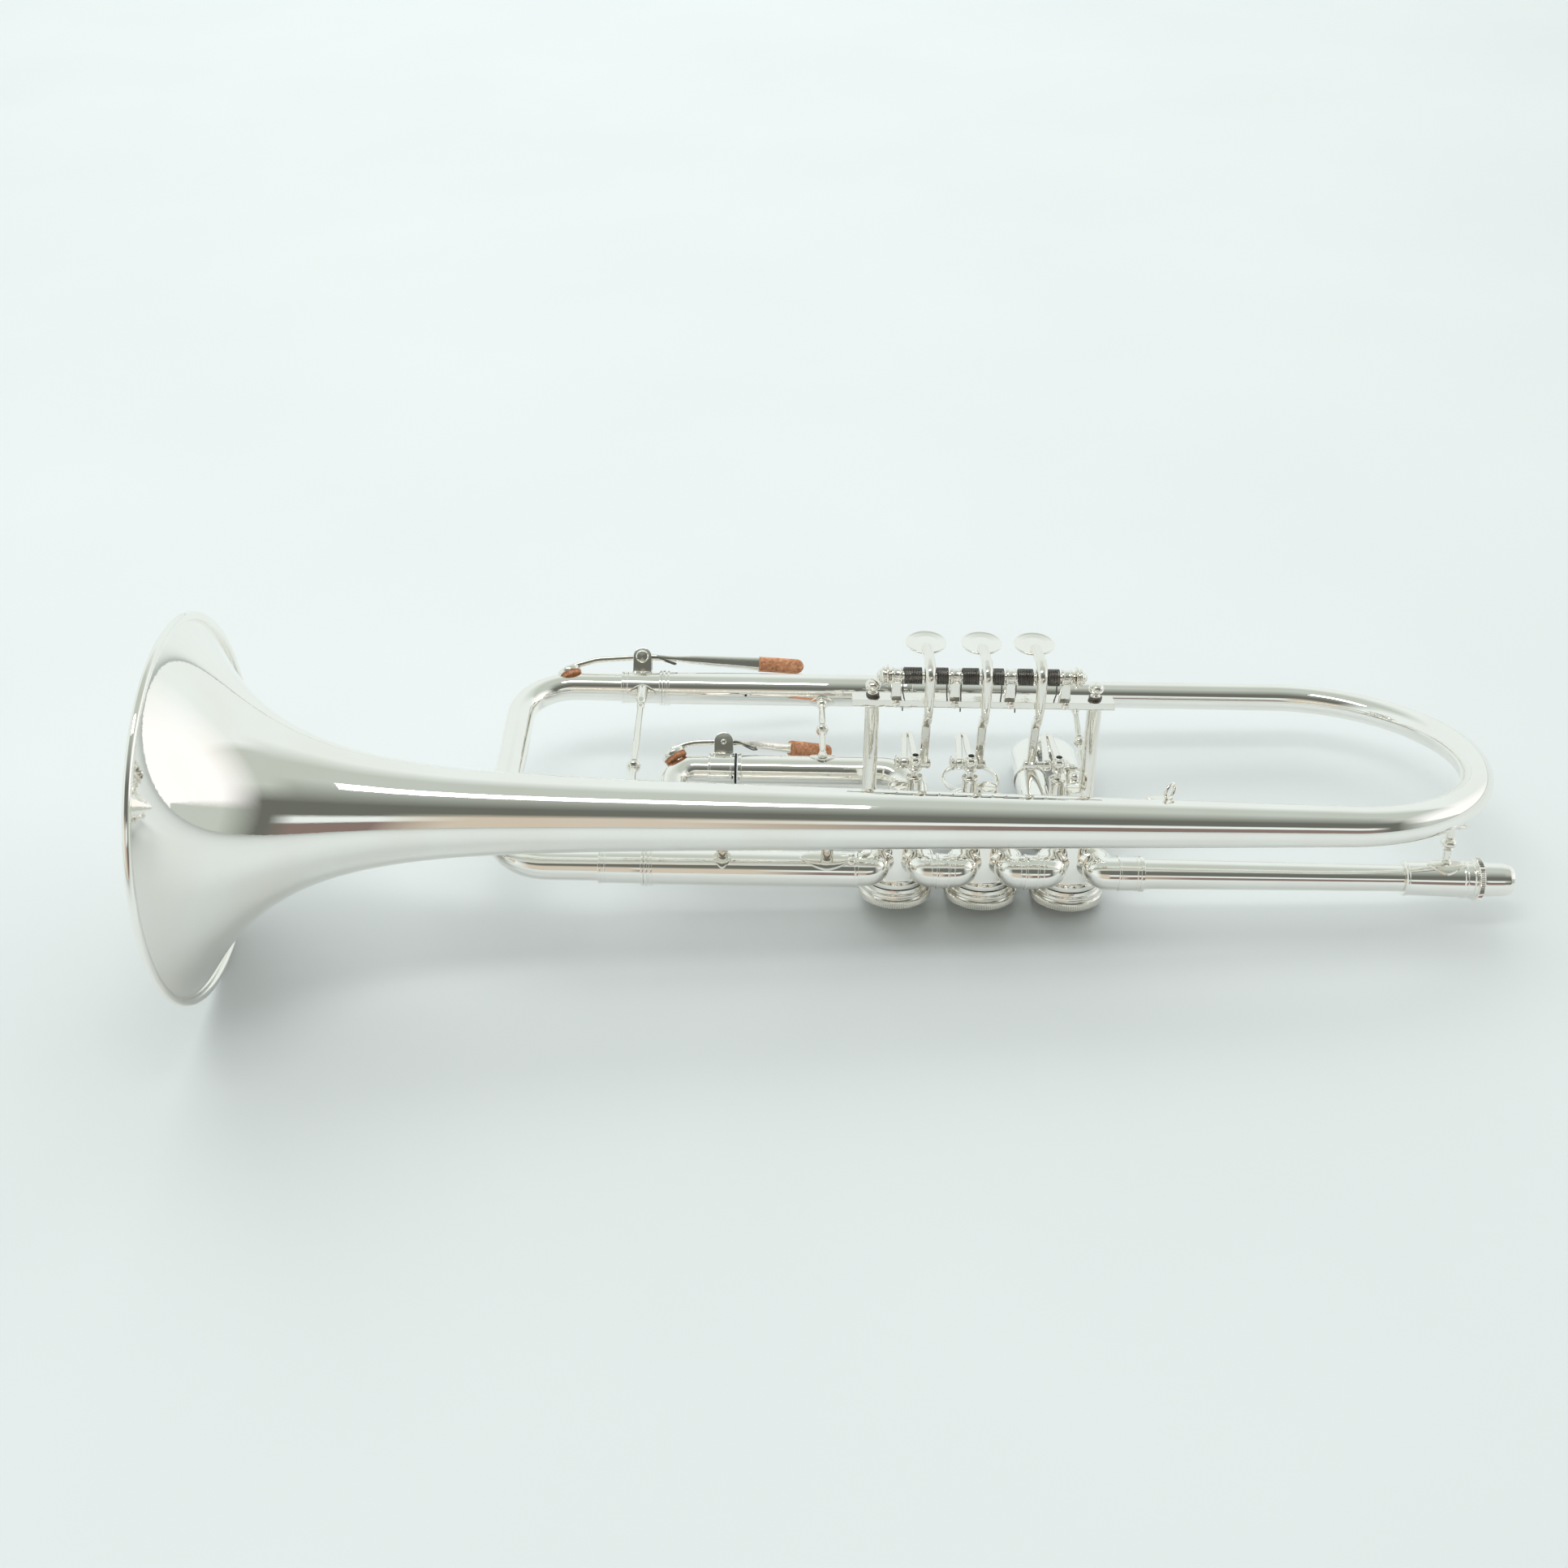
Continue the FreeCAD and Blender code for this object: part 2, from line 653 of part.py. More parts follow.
def make_knuckles():
    """The bulging tubes in front of the valves and their ferrules."""
    line = dim("line_back")
    height = dim("line_height")
    bend = dim("knuckle_bend")
    side = dim("knuckle_side")
    bridges = []
    elbows = []
    bands = []
    for left, right in ((-PITCH, 0), (0, PITCH)):
        start = port_joints(left)["front_right"]
        end = port_joints(right)["front_left"]
        points = [start, Vector(start.x, line, height), Vector(end.x, line, height), end]
        ports = [(left, start), (right, end)]
        bridges.append(tube_with_ports("knuckle_radius", "thin_wall", points, bend, ports))
        band_space = [sweep("knuckle_radius + 0.01", rounded_wire(points, bend))]
        for valve_x, joint in ports:
            band_space.append(ball("knuckle_radius + 0.01", joint))
            end_point = Vector(valve_x, 0, height)
            band_space.append(cylinder("knuckle_radius + 0.01", joint, end_point))
        middle = Vector((left + right) / 2, line, height)
        bands.append(
            cut(
                fuse(
                    cylinder("knuckle_radius + 0.3", middle - X_AXIS * 2.6, middle + X_AXIS * 2.6),
                    cylinder("knuckle_radius + 0.7", middle - X_AXIS * 2.6, middle - X_AXIS * 1.5),
                    cylinder("knuckle_radius + 0.7", middle + X_AXIS * 1.5, middle + X_AXIS * 2.6),
                ),
                *band_space,
            )
        )
    keep(group(*bridges), "valve_bridges")
    for valve_x, name, sense in ((PITCH, "front_right", 1), (-PITCH, "front_left", -1)):
        start = port_joints(valve_x)[name]
        end = Vector(valve_x + sense * (side + bend), line, height)
        points = [start, Vector(start.x, line, height), end]
        ports = [(valve_x, start)]
        elbows.append(tube_with_ports("knuckle_radius", "thin_wall", points, bend, ports))
        if sense > 0:
            bands.append(
                straight_tube("leadpipe_radius + 0.75", "leadpipe_radius", end, end + X_AXIS * 9.5)
            )
    keep(group(*elbows), "valve_elbows")
    keep(group(*bands), "valve_ferrules")


# ---------------------------------------------------------------- slides
def make_main_slide():
    """Fixed outer tubes, and the tuning slide that moves in them."""
    mouth = dim("slide_mouth")
    ends = {
        "upper": (UPPER_AXIS, dim("upper_end")),
        "lower": (LINE_AXIS, -PITCH - dim("knuckle_side") - dim("knuckle_bend")),
    }
    for name, (line, end_x) in ends.items():
        tube = cut(
            fuse(
                cylinder("slide_radius", at(line, mouth), at(line, end_x)),
                cylinder("slide_radius + 0.8", at(line, mouth), at(line, mouth + 1.1)),
                cylinder("slide_radius + 0.6", at(line, mouth + 1.8), at(line, mouth + 2.8)),
            ),
            cylinder("slide_leg_radius + slide_fit", at(line, mouth), at(line, end_x)),
        )
        keep(tube, f"main_slide_tube_{name}")
    crook_x = dim("crook_start")
    far_x = crook_x - dim("crook_bend")
    corners = [
        at(UPPER_AXIS, crook_x),
        at(UPPER_AXIS, far_x),
        at(LINE_AXIS, far_x),
        at(LINE_AXIS, crook_x),
    ]
    wire = rounded_wire(corners, dim("crook_bend"))
    bend_centre = at(UPPER_AXIS, crook_x)
    bend_centre += (LINE_AXIS - UPPER_AXIS).normalize() * dim("crook_bend")
    seat, press = pad_seat(UPPER_AXIS, MAIN_KEY_LEAN, -162, bend_centre, dim("crook_bend"))
    crook = cut(
        fuse(sweep("crook_radius", wire), make_nipple(seat, press)),
        sweep("crook_radius - thin_wall", wire),
        cylinder(1.4, seat, seat + press * 9),
    )
    keep(crook, "tuning_crook")
    make_water_key(
        "main_key",
        line=UPPER_AXIS,
        lean=MAIN_KEY_LEAN,
        reach=dim("main_key_reach"),
        pivot_x=-135.5,
        seat=seat,
        press=press,
        grip_x=-87,
        aside=9,
        saddle_radius="slide_leg_radius + 0.35",
    )
    legs = []
    ferrules = []
    for line in (UPPER_AXIS, LINE_AXIS):
        legs.append(
            straight_tube(
                "slide_leg_radius",
                "slide_leg_radius - thin_wall",
                at(line, crook_x),
                at(line, dim("slide_leg_end")),
            )
        )
        ferrules.append(
            cut(
                fuse(
                    cylinder("slide_leg_radius + 0.35", at(line, crook_x), at(line, mouth - 0.3)),
                    cylinder("slide_leg_radius + 0.7", at(line, crook_x), at(line, crook_x + 1)),
                    cylinder("slide_radius + 0.7", at(line, mouth - 1.4), at(line, mouth - 0.3)),
                ),
                cylinder("slide_leg_radius", at(line, crook_x), at(line, mouth)),
            )
        )
    keep(group(*legs), "tuning_slide_legs")
    keep(group(*ferrules), "tuning_slide_ferrules")


def loop_slide(valve_x, reach_y, mouth_y, *fittings):
    """A valve slide straight back from its valve: fixed outer tubes and the moving loop."""
    height = dim("line_height")
    joints = port_joints(valve_x)
    tubes = []
    collars = []
    for name in ("back_left", "back_right"):
        joint = joints[name]
        end = Vector(joint.x, mouth_y, height)
        skins = []
        for radius in ("loop_radius", "loop_leg_radius + slide_fit"):
            pieces = [cylinder(radius, joint, end), ball(radius, joint)]
            pieces.append(cylinder(radius, joint, Vector(valve_x, 0, height)))
            if radius == "loop_radius":
                pieces.append(cylinder("loop_radius + 0.6", end - Y_AXIS * 1.4, end))
            skins.append(fuse(*pieces))
        tubes.append(cut(skins[0], skins[1], casing_drum(valve_x)))
        collar_start = end + Y_AXIS * 0.3
        collars.append(cylinder("loop_radius + 0.5", collar_start, collar_start + Y_AXIS * 2.2))
    inset_y = dim("loop_back") + 2.5
    left_x = joints["back_left"].x
    right_x = joints["back_right"].x
    points = [
        Vector(left_x, inset_y, height),
        Vector(left_x, reach_y, height),
        Vector(right_x, reach_y, height),
        Vector(right_x, inset_y, height),
    ]
    wire = rounded_wire(points, dim("loop_side") - 0.05)
    loop = cut(
        fuse(sweep("loop_leg_radius", wire), *collars, *fittings),
        sweep("loop_leg_radius - thin_wall", wire),
    )
    return group(*tubes), loop


def make_valve_slides():
    """First and second slides straight back, third slide towards the bell."""
    tubes, loop = loop_slide(PITCH, dim("first_loop_reach"), dim("first_loop_mouth"))
    keep(tubes, "first_slide_tubes")
    keep(loop, "first_slide")
    ring = doc.addObject("Part::Torus", "pull_ring")
    bind(ring, "Radius1", "ring_radius")
    bind(ring, "Radius2", "ring_wire")
    ring_y = dim("second_loop_reach") + dim("loop_leg_radius") + dim("ring_radius") + 0.6
    ring.Placement = Placement(Vector(0, ring_y, dim("line_height") + 1), Rotation(X_AXIS, 5))
    tubes, loop = loop_slide(0, dim("second_loop_reach"), dim("second_loop_mouth"), ring)
    keep(tubes, "second_slide_tubes")
    keep(loop, "second_slide")

    joints = port_joints(-PITCH)
    mouth_x = dim("third_mouth")
    tubes = []
    for name, line, bend in (
        ("back_right", THIRD_UPPER, 13),
        ("back_left", THIRD_LOWER, 6.6),
    ):
        joint = joints[name]
        corner = at(line, joint.x)
        tube = tube_with_ports(
            "loop_radius",
            "(loop_radius - loop_leg_radius - slide_fit)",
            [joint, corner, at(line, mouth_x)],
            bend,
            [(-PITCH, joint)],
        )
        collar = straight_tube(
            "loop_radius + 0.7", "loop_radius - 0.2", at(line, mouth_x), at(line, mouth_x + 1.6)
        )
        tubes.append(fuse(tube, collar))
    keep(group(*tubes), "third_slide_tubes")
    crook_x = dim("third_crook")
    gap = (THIRD_UPPER - THIRD_LOWER).Length
    far_x = crook_x - gap / 2
    inside_x = mouth_x + 34
    points = [
        at(THIRD_UPPER, inside_x),
        at(THIRD_UPPER, far_x),
        at(THIRD_LOWER, far_x),
        at(THIRD_LOWER, inside_x),
    ]
    wire = rounded_wire(points, gap / 2 - 0.05)
    collars = []
    for line in (THIRD_UPPER, THIRD_LOWER):
        collars.append(
            cylinder("loop_radius + 0.1", at(line, crook_x), at(line, mouth_x - 0.3))
        )
        collars.append(
            cylinder("loop_radius + 0.6", at(line, crook_x), at(line, crook_x + 1))
        )
    bend_centre = at(THIRD_UPPER, crook_x) + (THIRD_LOWER - THIRD_UPPER) * 0.5
    seat, press = pad_seat(THIRD_UPPER, THIRD_KEY_LEAN, -114.5, bend_centre, gap / 2)
    loop = cut(
        fuse(sweep("loop_leg_radius", wire), make_nipple(seat, press), *collars),
        sweep("loop_leg_radius - thin_wall", wire),
        cylinder(1.4, seat, seat + press * 9),
    )
    keep(loop, "third_slide")
    make_water_key(
        "third_key",
        line=THIRD_UPPER,
        lean=THIRD_KEY_LEAN,
        reach=dim("third_key_reach"),
        pivot_x=-100,
        seat=seat,
        press=press,
        grip_x=-73,
        aside=13,
        saddle_radius="loop_radius + 0.1",
    )


# ---------------------------------------------------------------- lever mechanism
def make_mechanism_frame():
    """Plate, pillars, screws, hinge posts, hinge rod and the torsion springs."""
    base = Vector(0, dim("hinge_back"), dim("plate_bottom"))
    bar = plate(
        [
            ("plate_left", "-plate_depth / 2"),
            ("plate_right", "-plate_depth / 2"),
            ("plate_right", "plate_depth / 2"),
            ("plate_left", "plate_depth / 2"),
        ],
        "plate_thick",
        base,
    )
    keep(bar, "mechanism_plate")
    left = Vector(dim("pillar_left"), dim("pillar_back"), dim("plate_bottom"))
    right = Vector(dim("pillar_right"), dim("pillar_back"), dim("plate_bottom"))
    foot_left = Vector(left.x, left.y, 25.5)
    foot_right = Vector(right.x, right.y, dim("plate_top"))
    lug = block(Vector(left.x - 3, left.y - 3, 25.5), Vector(-PITCH - 6, left.y + 3, 29.5))
    valve_space = cylinder("casing_radius", Vector(-PITCH, 0, 20), Vector(-PITCH, 0, 33.2))
    pillars = group(
        cut(fuse(cylinder("pillar_radius", foot_left, left), lug), valve_space),
        cylinder("pillar_radius", foot_right, right),
    )
    keep(pillars, "mechanism_pillars")
    screws = []
    for spot in (left, right):
        seat = spot + Z_AXIS * dim("plate_thick")
        screws.append(
            turned([(0, 0), (0, 1.9), (1.4, 1.9), (1.7, 1.2), (2.6, 1.2), (3.0, 2.4), (5.2, 2.6),
                    (6.2, 1.6), (6.2, 0)], seat, Z_AXIS)
        )
    keep(group(*screws), "pillar_screws")
    posts = []
    top = dim("plate_bottom") + dim("plate_thick")
    for x in POSTS:
        shank = block(
            Vector(x - 1.6, dim("hinge_back") - 1.6, top),
            Vector(x + 1.6, dim("hinge_back") + 1.6, dim("hinge_height")),
        )
        eye = cylinder("sleeve_radius - 0.9", at(HINGE, x - 2.0), at(HINGE, x + 2.0))
        hole = cylinder("hinge_radius", at(HINGE, x - 2), at(HINGE, x + 2))
        posts.append(cut(fuse(shank, eye), hole))
    keep(group(*posts), "hinge_posts")
    rod = cylinder("hinge_radius", at(HINGE, dim("hinge_left")), at(HINGE, dim("hinge_right")))
    knob_profile = [(0, 0), (0, 2.0), (0.8, 2.4), (1.0, 4.0), (1.8, 4.0), (2.0, 2.6), (2.6, 3.2),
                    (3.4, 3.2), (4.4, 2.0), (5.2, 1.0), (5.4, 0)]
    left_knob = turned(knob_profile, at(HINGE, dim("hinge_left") + 1.4), X_AXIS * -1)
    right_knob = turned(knob_profile, at(HINGE, dim("hinge_right") - 2.4), X_AXIS)
    keep(fuse(rod, left_knob, right_knob), "hinge_rod")
    springs = []
    for _, _, _, lever_x in VALVES:
        left_post = max(x for x in POSTS if x < lever_x)
        right_post = min(x for x in POSTS if x > lever_x)
        for start_x, end_x in ((left_post + 2.3, lever_x - 2.2), (lever_x + 2.2, right_post - 2.3)):
            near = at(HINGE, start_x)
            far = at(HINGE, end_x)
            springs.append(straight_tube("sleeve_radius", "hinge_radius + 0.5", near, far))
    keep(group(*springs), "lever_springs")


def make_lever(index, valve_x, side, lever_x):
    """A lever with its sleeve, its pin and its dished finger plate."""
    front = dim("hinge_back") - dim("sleeve_radius") - 2.8
    pin = Vector(lever_x, dim("pin_back"), dim("pin_height"))
    hinge_z = dim("hinge_height")
    path = [
        Vector(lever_x, dim("finger_back"), dim("finger_height") - 1.0),
        Vector(lever_x, dim("finger_back") - 7, hinge_z + 4.9),
        Vector(lever_x, dim("hinge_back"), hinge_z + 5.6),
        Vector(lever_x, front, hinge_z + 3.4),
        Vector(lever_x, front, dim("plate_bottom") - 2),
        Vector(lever_x, dim("hinge_back") + 1.2, dim("plate_bottom") - 8.5),
        pin,
    ]
    rod = sweep("lever_radius", rounded_wire(path, 2.2))
    sleeve = cylinder("sleeve_radius", at(HINGE, lever_x - 1.9), at(HINGE, lever_x + 1.9))
    web = block(
        Vector(lever_x - 1.2, front, hinge_z - 1.5),
        Vector(lever_x + 1.2, dim("hinge_back"), hinge_z + 1.5),
    )
    link_x = valve_x + side * dim("stud_offset") - dim("link_gap")
    outward = 1 if link_x > lever_x else -1
    shoulder = Vector(link_x + outward * 1.9, pin.y, pin.z)
    head_radius, head_length = (1.6, 0.5) if outward > 0 else (2.8, 2.0)
    shaft = cylinder("pin_radius", pin, shoulder)
    head = cylinder(head_radius, shoulder, shoulder + X_AXIS * (outward * head_length))
    boss = cylinder(1.7, pin - X_AXIS * 2.6, pin + X_AXIS * 2.6)
    bore = cylinder("hinge_radius + 0.05", at(HINGE, lever_x - 3), at(HINGE, lever_x + 3))
    dish = turned(
        [(0, 0), (0, 3.0), (0.5, "finger_radius - 0.6"), (1.3, "finger_radius"),
         (1.8, "finger_radius - 0.3"), (1.5, "finger_radius - 1.2"), (1.1, 3.0), (1.0, 0)],
        Vector(lever_x, dim("finger_back"), dim("finger_height")),
        Rotation(X_AXIS, dim("finger_lean")).multVec(Z_AXIS),
    )
    keep(cut(fuse(rod, sleeve, web, boss, shaft, head, dish), bore), f"lever_{index}")


def make_link(index, valve_x, side, lever_x):
    """The hairpin link from a lever's pin to the ball over its stop arm's stud."""
    ball_x = valve_x + side * dim("stud_offset")
    outer_x = ball_x - dim("link_gap")
    pin = Vector(outer_x, dim("pin_back"), dim("pin_height"))
    ball_spot = Vector(ball_x, dim("stud_offset"), dim("link_height"))
    far = dim("link_reach")
    path = [
        pin + Z_AXIS * 0.4,
        Vector(ball_x - 0.4 - dim("link_far_gap"), far, dim("link_height")),
        Vector(ball_x - 0.4, far, dim("link_height")),
        ball_spot,
    ]
    rod = sweep("link_rod", rounded_wire(path, dim("link_far_gap") / 2 - 0.08))
    eye = cylinder(2.1, pin - X_AXIS * 1.5, pin + X_AXIS * 1.5)
    hole = cylinder("pin_radius + 0.05", pin - X_AXIS * 2, pin + X_AXIS * 2)
    keep(cut(fuse(rod, eye, ball("ball_radius", ball_spot)), hole), f"link_{index}")


# ---------------------------------------------------------------- water keys
def key_directions(lean):
    """Away from the slide leg at a water key, and across the key."""
    angle = math.radians(lean)
    out = Vector(0, math.sin(angle), math.cos(angle))
    across = Vector(0, math.cos(angle), -math.sin(angle))
    return out, across


def pad_seat(line, lean, pad_x, bend_centre, bend_radius):
    """Where a pad meets the crook: a point on the crook's axis and the way out of the crook."""
    out, _ = key_directions(lean)
    inward = at(bend_centre, 0) - at(line, 0)
    inward.normalize()
    along = bend_centre.x - pad_x
    seat = at(line, pad_x) + inward * (bend_radius - math.sqrt(bend_radius ** 2 - along ** 2))
    radial = (seat - bend_centre).normalize()
    tangent = radial.cross(inward.cross(X_AXIS)).normalize()
    press = (out + radial * 0.8).normalize()
    press = (press - tangent * press.dot(tangent)).normalize()
    return seat, press


def make_nipple(seat, press):
    """The short collar on the crook that a pad closes."""
    return cylinder(2.6, seat, seat + press * (dim("crook_radius") + 1.4))


def make_water_key(
    prefix, line, lean, reach, pivot_x, seat, press, grip_x, aside, saddle_radius
):
    """A water key on a slide leg: saddle and screw, sprung arm, cork pad and cork grip.

    The arm runs back beside its tube, so that the grip can go down past it.
    """
    out, across = key_directions(lean)
    pivot = at(line, pivot_x) + out * reach
    turned_frame = Rotation(X_AXIS, -lean)
    foot = at(line, pivot_x)
    pieces = []
    for across_mm, low, wide, high in (
        (-3.05, 5.0, 6.1, 7.4),
        (-3.05, 5.4, 0.9, reach),
        (2.15, 5.4, 0.9, reach),
    ):
        wall = doc.addObject("Part::Box", "wall")
        wall.Length = 7.6
        wall.Width = wide
        wall.Height = high - low
        wall.Placement = Placement(foot + out * low + across * across_mm - X_AXIS * 3.8, turned_frame)
        pieces.append(wall)
    for sense in (-1, 1):
        middle = pivot + across * (sense * 2.6)
        pieces.append(cylinder(3.8, middle - across * 0.45, middle + across * 0.45))
    ferrule = cylinder(saddle_radius, at(line, pivot_x - 10), at(line, pivot_x + 10))
    screw_hole = cylinder("key_screw_radius", pivot - across * 6, pivot + across * 6)
    saddle = cut(fuse(*pieces), ferrule, screw_hole)
    screw = fuse(
        cylinder("key_screw_radius", pivot - across * 3.6, pivot + across * 3.1),
        cylinder(1.9, pivot - across * 4.2, pivot - across * 3.1),
    )
    keep(group(saddle, screw), f"{prefix}_saddle")

    surface = seat + press * dim("crook_radius")
    cork_low = surface + press * 1.5
    cork_high = surface + press * 4.4
    cup_top = surface + press * 5.8
    grip_start = at(pivot, grip_x) - out * 1.0 + across * aside
    hub = cylinder(2.0, pivot - across * 1.9, pivot + across * 1.9)
    hub_hole = cylinder("key_screw_radius + 0.05", pivot - across * 3, pivot + across * 3)
    neck = pivot - X_AXIS * (0.7 * (pivot_x - cup_top.x)) + out * 0.6
    crown = cup_top + press * 0.3
    short_arm = fuse(sweep(1.1, rounded_wire([pivot, neck, crown], 3)), ball(1.6, crown))
    elbow = pivot + X_AXIS * 5.8
    along = (grip_start - elbow).normalize()
    grip_end = grip_start + along * 19
    long_arm = fuse(
        sweep(1.2, rounded_wire([pivot, elbow, elbow + along * 8], 5)),
        cone(1.3, 1.9, elbow + along * 6, grip_start),
    )
    core = cone(1.7, 1.4, grip_start - along, grip_end - along * 3)
    cup = cylinder("pad_radius + 0.5", cork_high - press * 0.9, cup_top)
    recess = cylinder("pad_radius", cork_low, cork_high)
    arm = fuse(fuse(hub, short_arm, cup), fuse(long_arm, core))
    keep(cut(arm, hub_hole, recess), f"{prefix}_arm")
    pad = cylinder("pad_radius", cork_low, cork_high)
    grip = cut(
        fuse(
            cylinder("grip_radius", grip_start, grip_end - along * 3),
            ball("grip_radius", grip_end - along * 3),
        ),
        core,
    )
    keep(group(pad, grip), f"{prefix}_corks")
    side = along.cross(out).normalize()
    wire = [
        pivot + X_AXIS * 2.45 + across * 1.62,
        elbow + across * 1.62 - out * 0.9,
        elbow + along * 8 - side * 1.9 - out * 2.2,
        elbow + along * 8 + side * 1.9 - out * 2.2,
        elbow - across * 1.62 - out * 0.9,
        pivot + X_AXIS * 2.45 - across * 1.62,
    ]
    keep(sweep(0.38, rounded_wire(wire, 0.9)), f"{prefix}_spring")


# ---------------------------------------------------------------- braces and small fittings
def brace(start, end, rod_mm, *trims):
    """An ornamental brace: two tapered rods, a ringed centre and rounded feet, trimmed to fit."""
    length = (end - start).Length
    half = length / 2
    profile = [
        (0, 0),
        (0, rod_mm * 1.5),
        (length * 0.1, rod_mm * 1.3),
        (length * 0.2, rod_mm * 0.8),
        (half - 1.6, rod_mm * 0.95),
        (half - 1.4, rod_mm * 1.35),
        (half - 0.7, rod_mm * 1.05),
        (half, rod_mm * 1.6),
        (half + 0.7, rod_mm * 1.05),
        (half + 1.4, rod_mm * 1.35),
        (half + 1.6, rod_mm * 0.95),
        (length * 0.8, rod_mm * 0.8),
        (length * 0.9, rod_mm * 1.3),
        (length, rod_mm * 1.5),
        (length, 0),
    ]
    return cut(turned(profile, start, end - start), *trims)


def make_braces():
    """Braces between tubes, the leaf-shaped flanges and the small hook on the bell tail."""
    crook_x = -135.0
    inward = (LINE_AXIS - UPPER_AXIS).normalize()
    above = X_AXIS.cross(inward * -1).normalize() * 2.6
    crook_brace = brace(
        at(UPPER_AXIS, crook_x) + inward * 5 + above,
        at(LINE_AXIS, crook_x) - inward * 5 + above,
        1.7,
        cylinder("slide_leg_radius + 0.35", at(UPPER_AXIS, crook_x - 9), at(UPPER_AXIS, crook_x + 9)),
        cylinder("slide_leg_radius + 0.35", at(LINE_AXIS, crook_x - 9), at(LINE_AXIS, crook_x + 9)),
    )
    keep(crook_brace, "crook_brace")
    left_x = -60.5
    third_brace = brace(
        at(UPPER_AXIS, left_x) + Vector(0, -5.4, -2.4),
        at(THIRD_UPPER, left_x) + Vector(0, -1, 5.6),
        1.7,
        cylinder("slide_radius", at(UPPER_AXIS, left_x - 9), at(UPPER_AXIS, left_x + 9)),
        cylinder("loop_radius", at(THIRD_UPPER, left_x - 9), at(THIRD_UPPER, left_x + 9)),
    )
    right_x = 45.0
    slide_leg = Vector(PITCH + dim("loop_side"), 0, dim("line_height"))
    first_brace = brace(
        at(UPPER_AXIS, right_x) + Vector(0, -3.5, -3.5),
        Vector(right_x, 50, dim("line_height") + 5.4),
        1.5,
        upper_cone(),
        cylinder("loop_radius", slide_leg + Y_AXIS * 40, slide_leg + Y_AXIS * 60),
    )
    keep(group(third_brace, first_brace), "slide_braces")
    stay_x = 168.9
    bow_centre = (at(BELL_AXIS, dim("bow_start")) + at(UPPER_AXIS, dim("bow_start"))) * 0.5
    bow_radius = (UPPER_AXIS - BELL_AXIS).Length / 2
    drop = math.sqrt(bow_radius ** 2 - (stay_x - bow_centre.x) ** 2)
    bow_point = at(bow_centre, stay_x) + (BELL_AXIS - UPPER_AXIS).normalize() * drop
    receiver_brace = brace(
        at(LINE_AXIS, stay_x) + Z_AXIS * 6,
        bow_point + Vector(0, 0.6, -5.4),
        1.9,
        cylinder(6.75, at(LINE_AXIS, stay_x - 14), at(LINE_AXIS, stay_x + 6)),
        bow(),
    )
    keep(receiver_brace, "receiver_brace")
    clamps = []
    for x, long_mm in ((-98.0, 5.0), (-58.5, 11.5)):
        tube_space = cylinder("slide_radius", at(LINE_AXIS, x - 16), at(LINE_AXIS, x + 16))
        bell_radius = bell_outline(x - dim("bell_mouth"))
        bell_space = cylinder(bell_radius, at(BELL_AXIS, x - 16), at(BELL_AXIS, x + 16))
        leaf = doc.addObject("Part::Ellipsoid", "leaf")
        leaf.Radius1 = 3.0
        leaf.Radius2 = long_mm
        leaf.Radius3 = 5.4
        leaf.Placement = Placement(at(LINE_AXIS, x) + Vector(0, -1.2, 6.2), Rotation(X_AXIS, 10))
        post = cylinder(2.3, at(LINE_AXIS, x) + Vector(0, -1, 5.5), at(BELL_AXIS, x) + Vector(0, 3, -8))
        clamps.append(cut(fuse(leaf, post), tube_space, bell_space))
    keep(group(*clamps), "bell_stays")
    hook_x = 58.5
    tail_radius = bell_outline(hook_x - dim("bell_mouth"))
    seat = at(BELL_AXIS, hook_x) + Vector(0, 4.5, tail_radius - 2.2)
    base = block(seat + Vector(-5, -2, 0), seat + Vector(4, 2, 1.6))
    ring = doc.addObject("Part::Torus", "ring")
    ring.Radius1 = 2.6
    ring.Radius2 = 0.7
    ring.Placement = Placement(seat + Vector(3.0, 0, 4.4), Rotation(Vector(1, 0.9, 0), 90))
    near, far = hook_x - 9, hook_x + 9
    tail_space = cone(
        bell_outline(near - dim("bell_mouth")),
        bell_outline(far - dim("bell_mouth")),
        at(BELL_AXIS, near),
        at(BELL_AXIS, far),
    )
    keep(cut(fuse(base, ring), tail_space), "bell_hook")


make_bell()
make_leadpipe()
make_valves()
make_knuckles()
make_main_slide()
make_valve_slides()
make_mechanism_frame()
for index, valve_x, side, lever_x in VALVES:
    make_lever(index, valve_x, side, lever_x)
    make_link(index, valve_x, side, lever_x)
make_braces()
doc.recompute()

# ---------------------------------------------------------------- laying down and writing
roll = Rotation(X_AXIS, -dim("laid_roll"))
pitch = Rotation(Y_AXIS, dim("laid_pitch"))
shift = Vector(-dim("laid_along"), -dim("laid_back"), dim("laid_lift"))
LAID = Placement(shift, pitch.multiply(roll))
for item in nodes:
    item.Placement = LAID.multiply(item.Placement)
doc.recompute()

for item in doc.Objects:
    if "Invalid" in item.State or "Error" in item.State:
        raise RuntimeError(f"{item.Label} ({item.Name}) did not build: {item.State}")
for item in nodes:
    if item.Shape.isNull() or not item.Shape.isValid():
        raise RuntimeError(f"{item.Label} has no valid shape")

os.makedirs("parts", exist_ok=True)
for item in nodes:
    item.Shape.exportStep(f"parts/{item.Label}.step")
print(len(nodes), "sub-parts written")
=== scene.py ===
import math

import bmesh
import bpy
from mathutils import Matrix, Vector


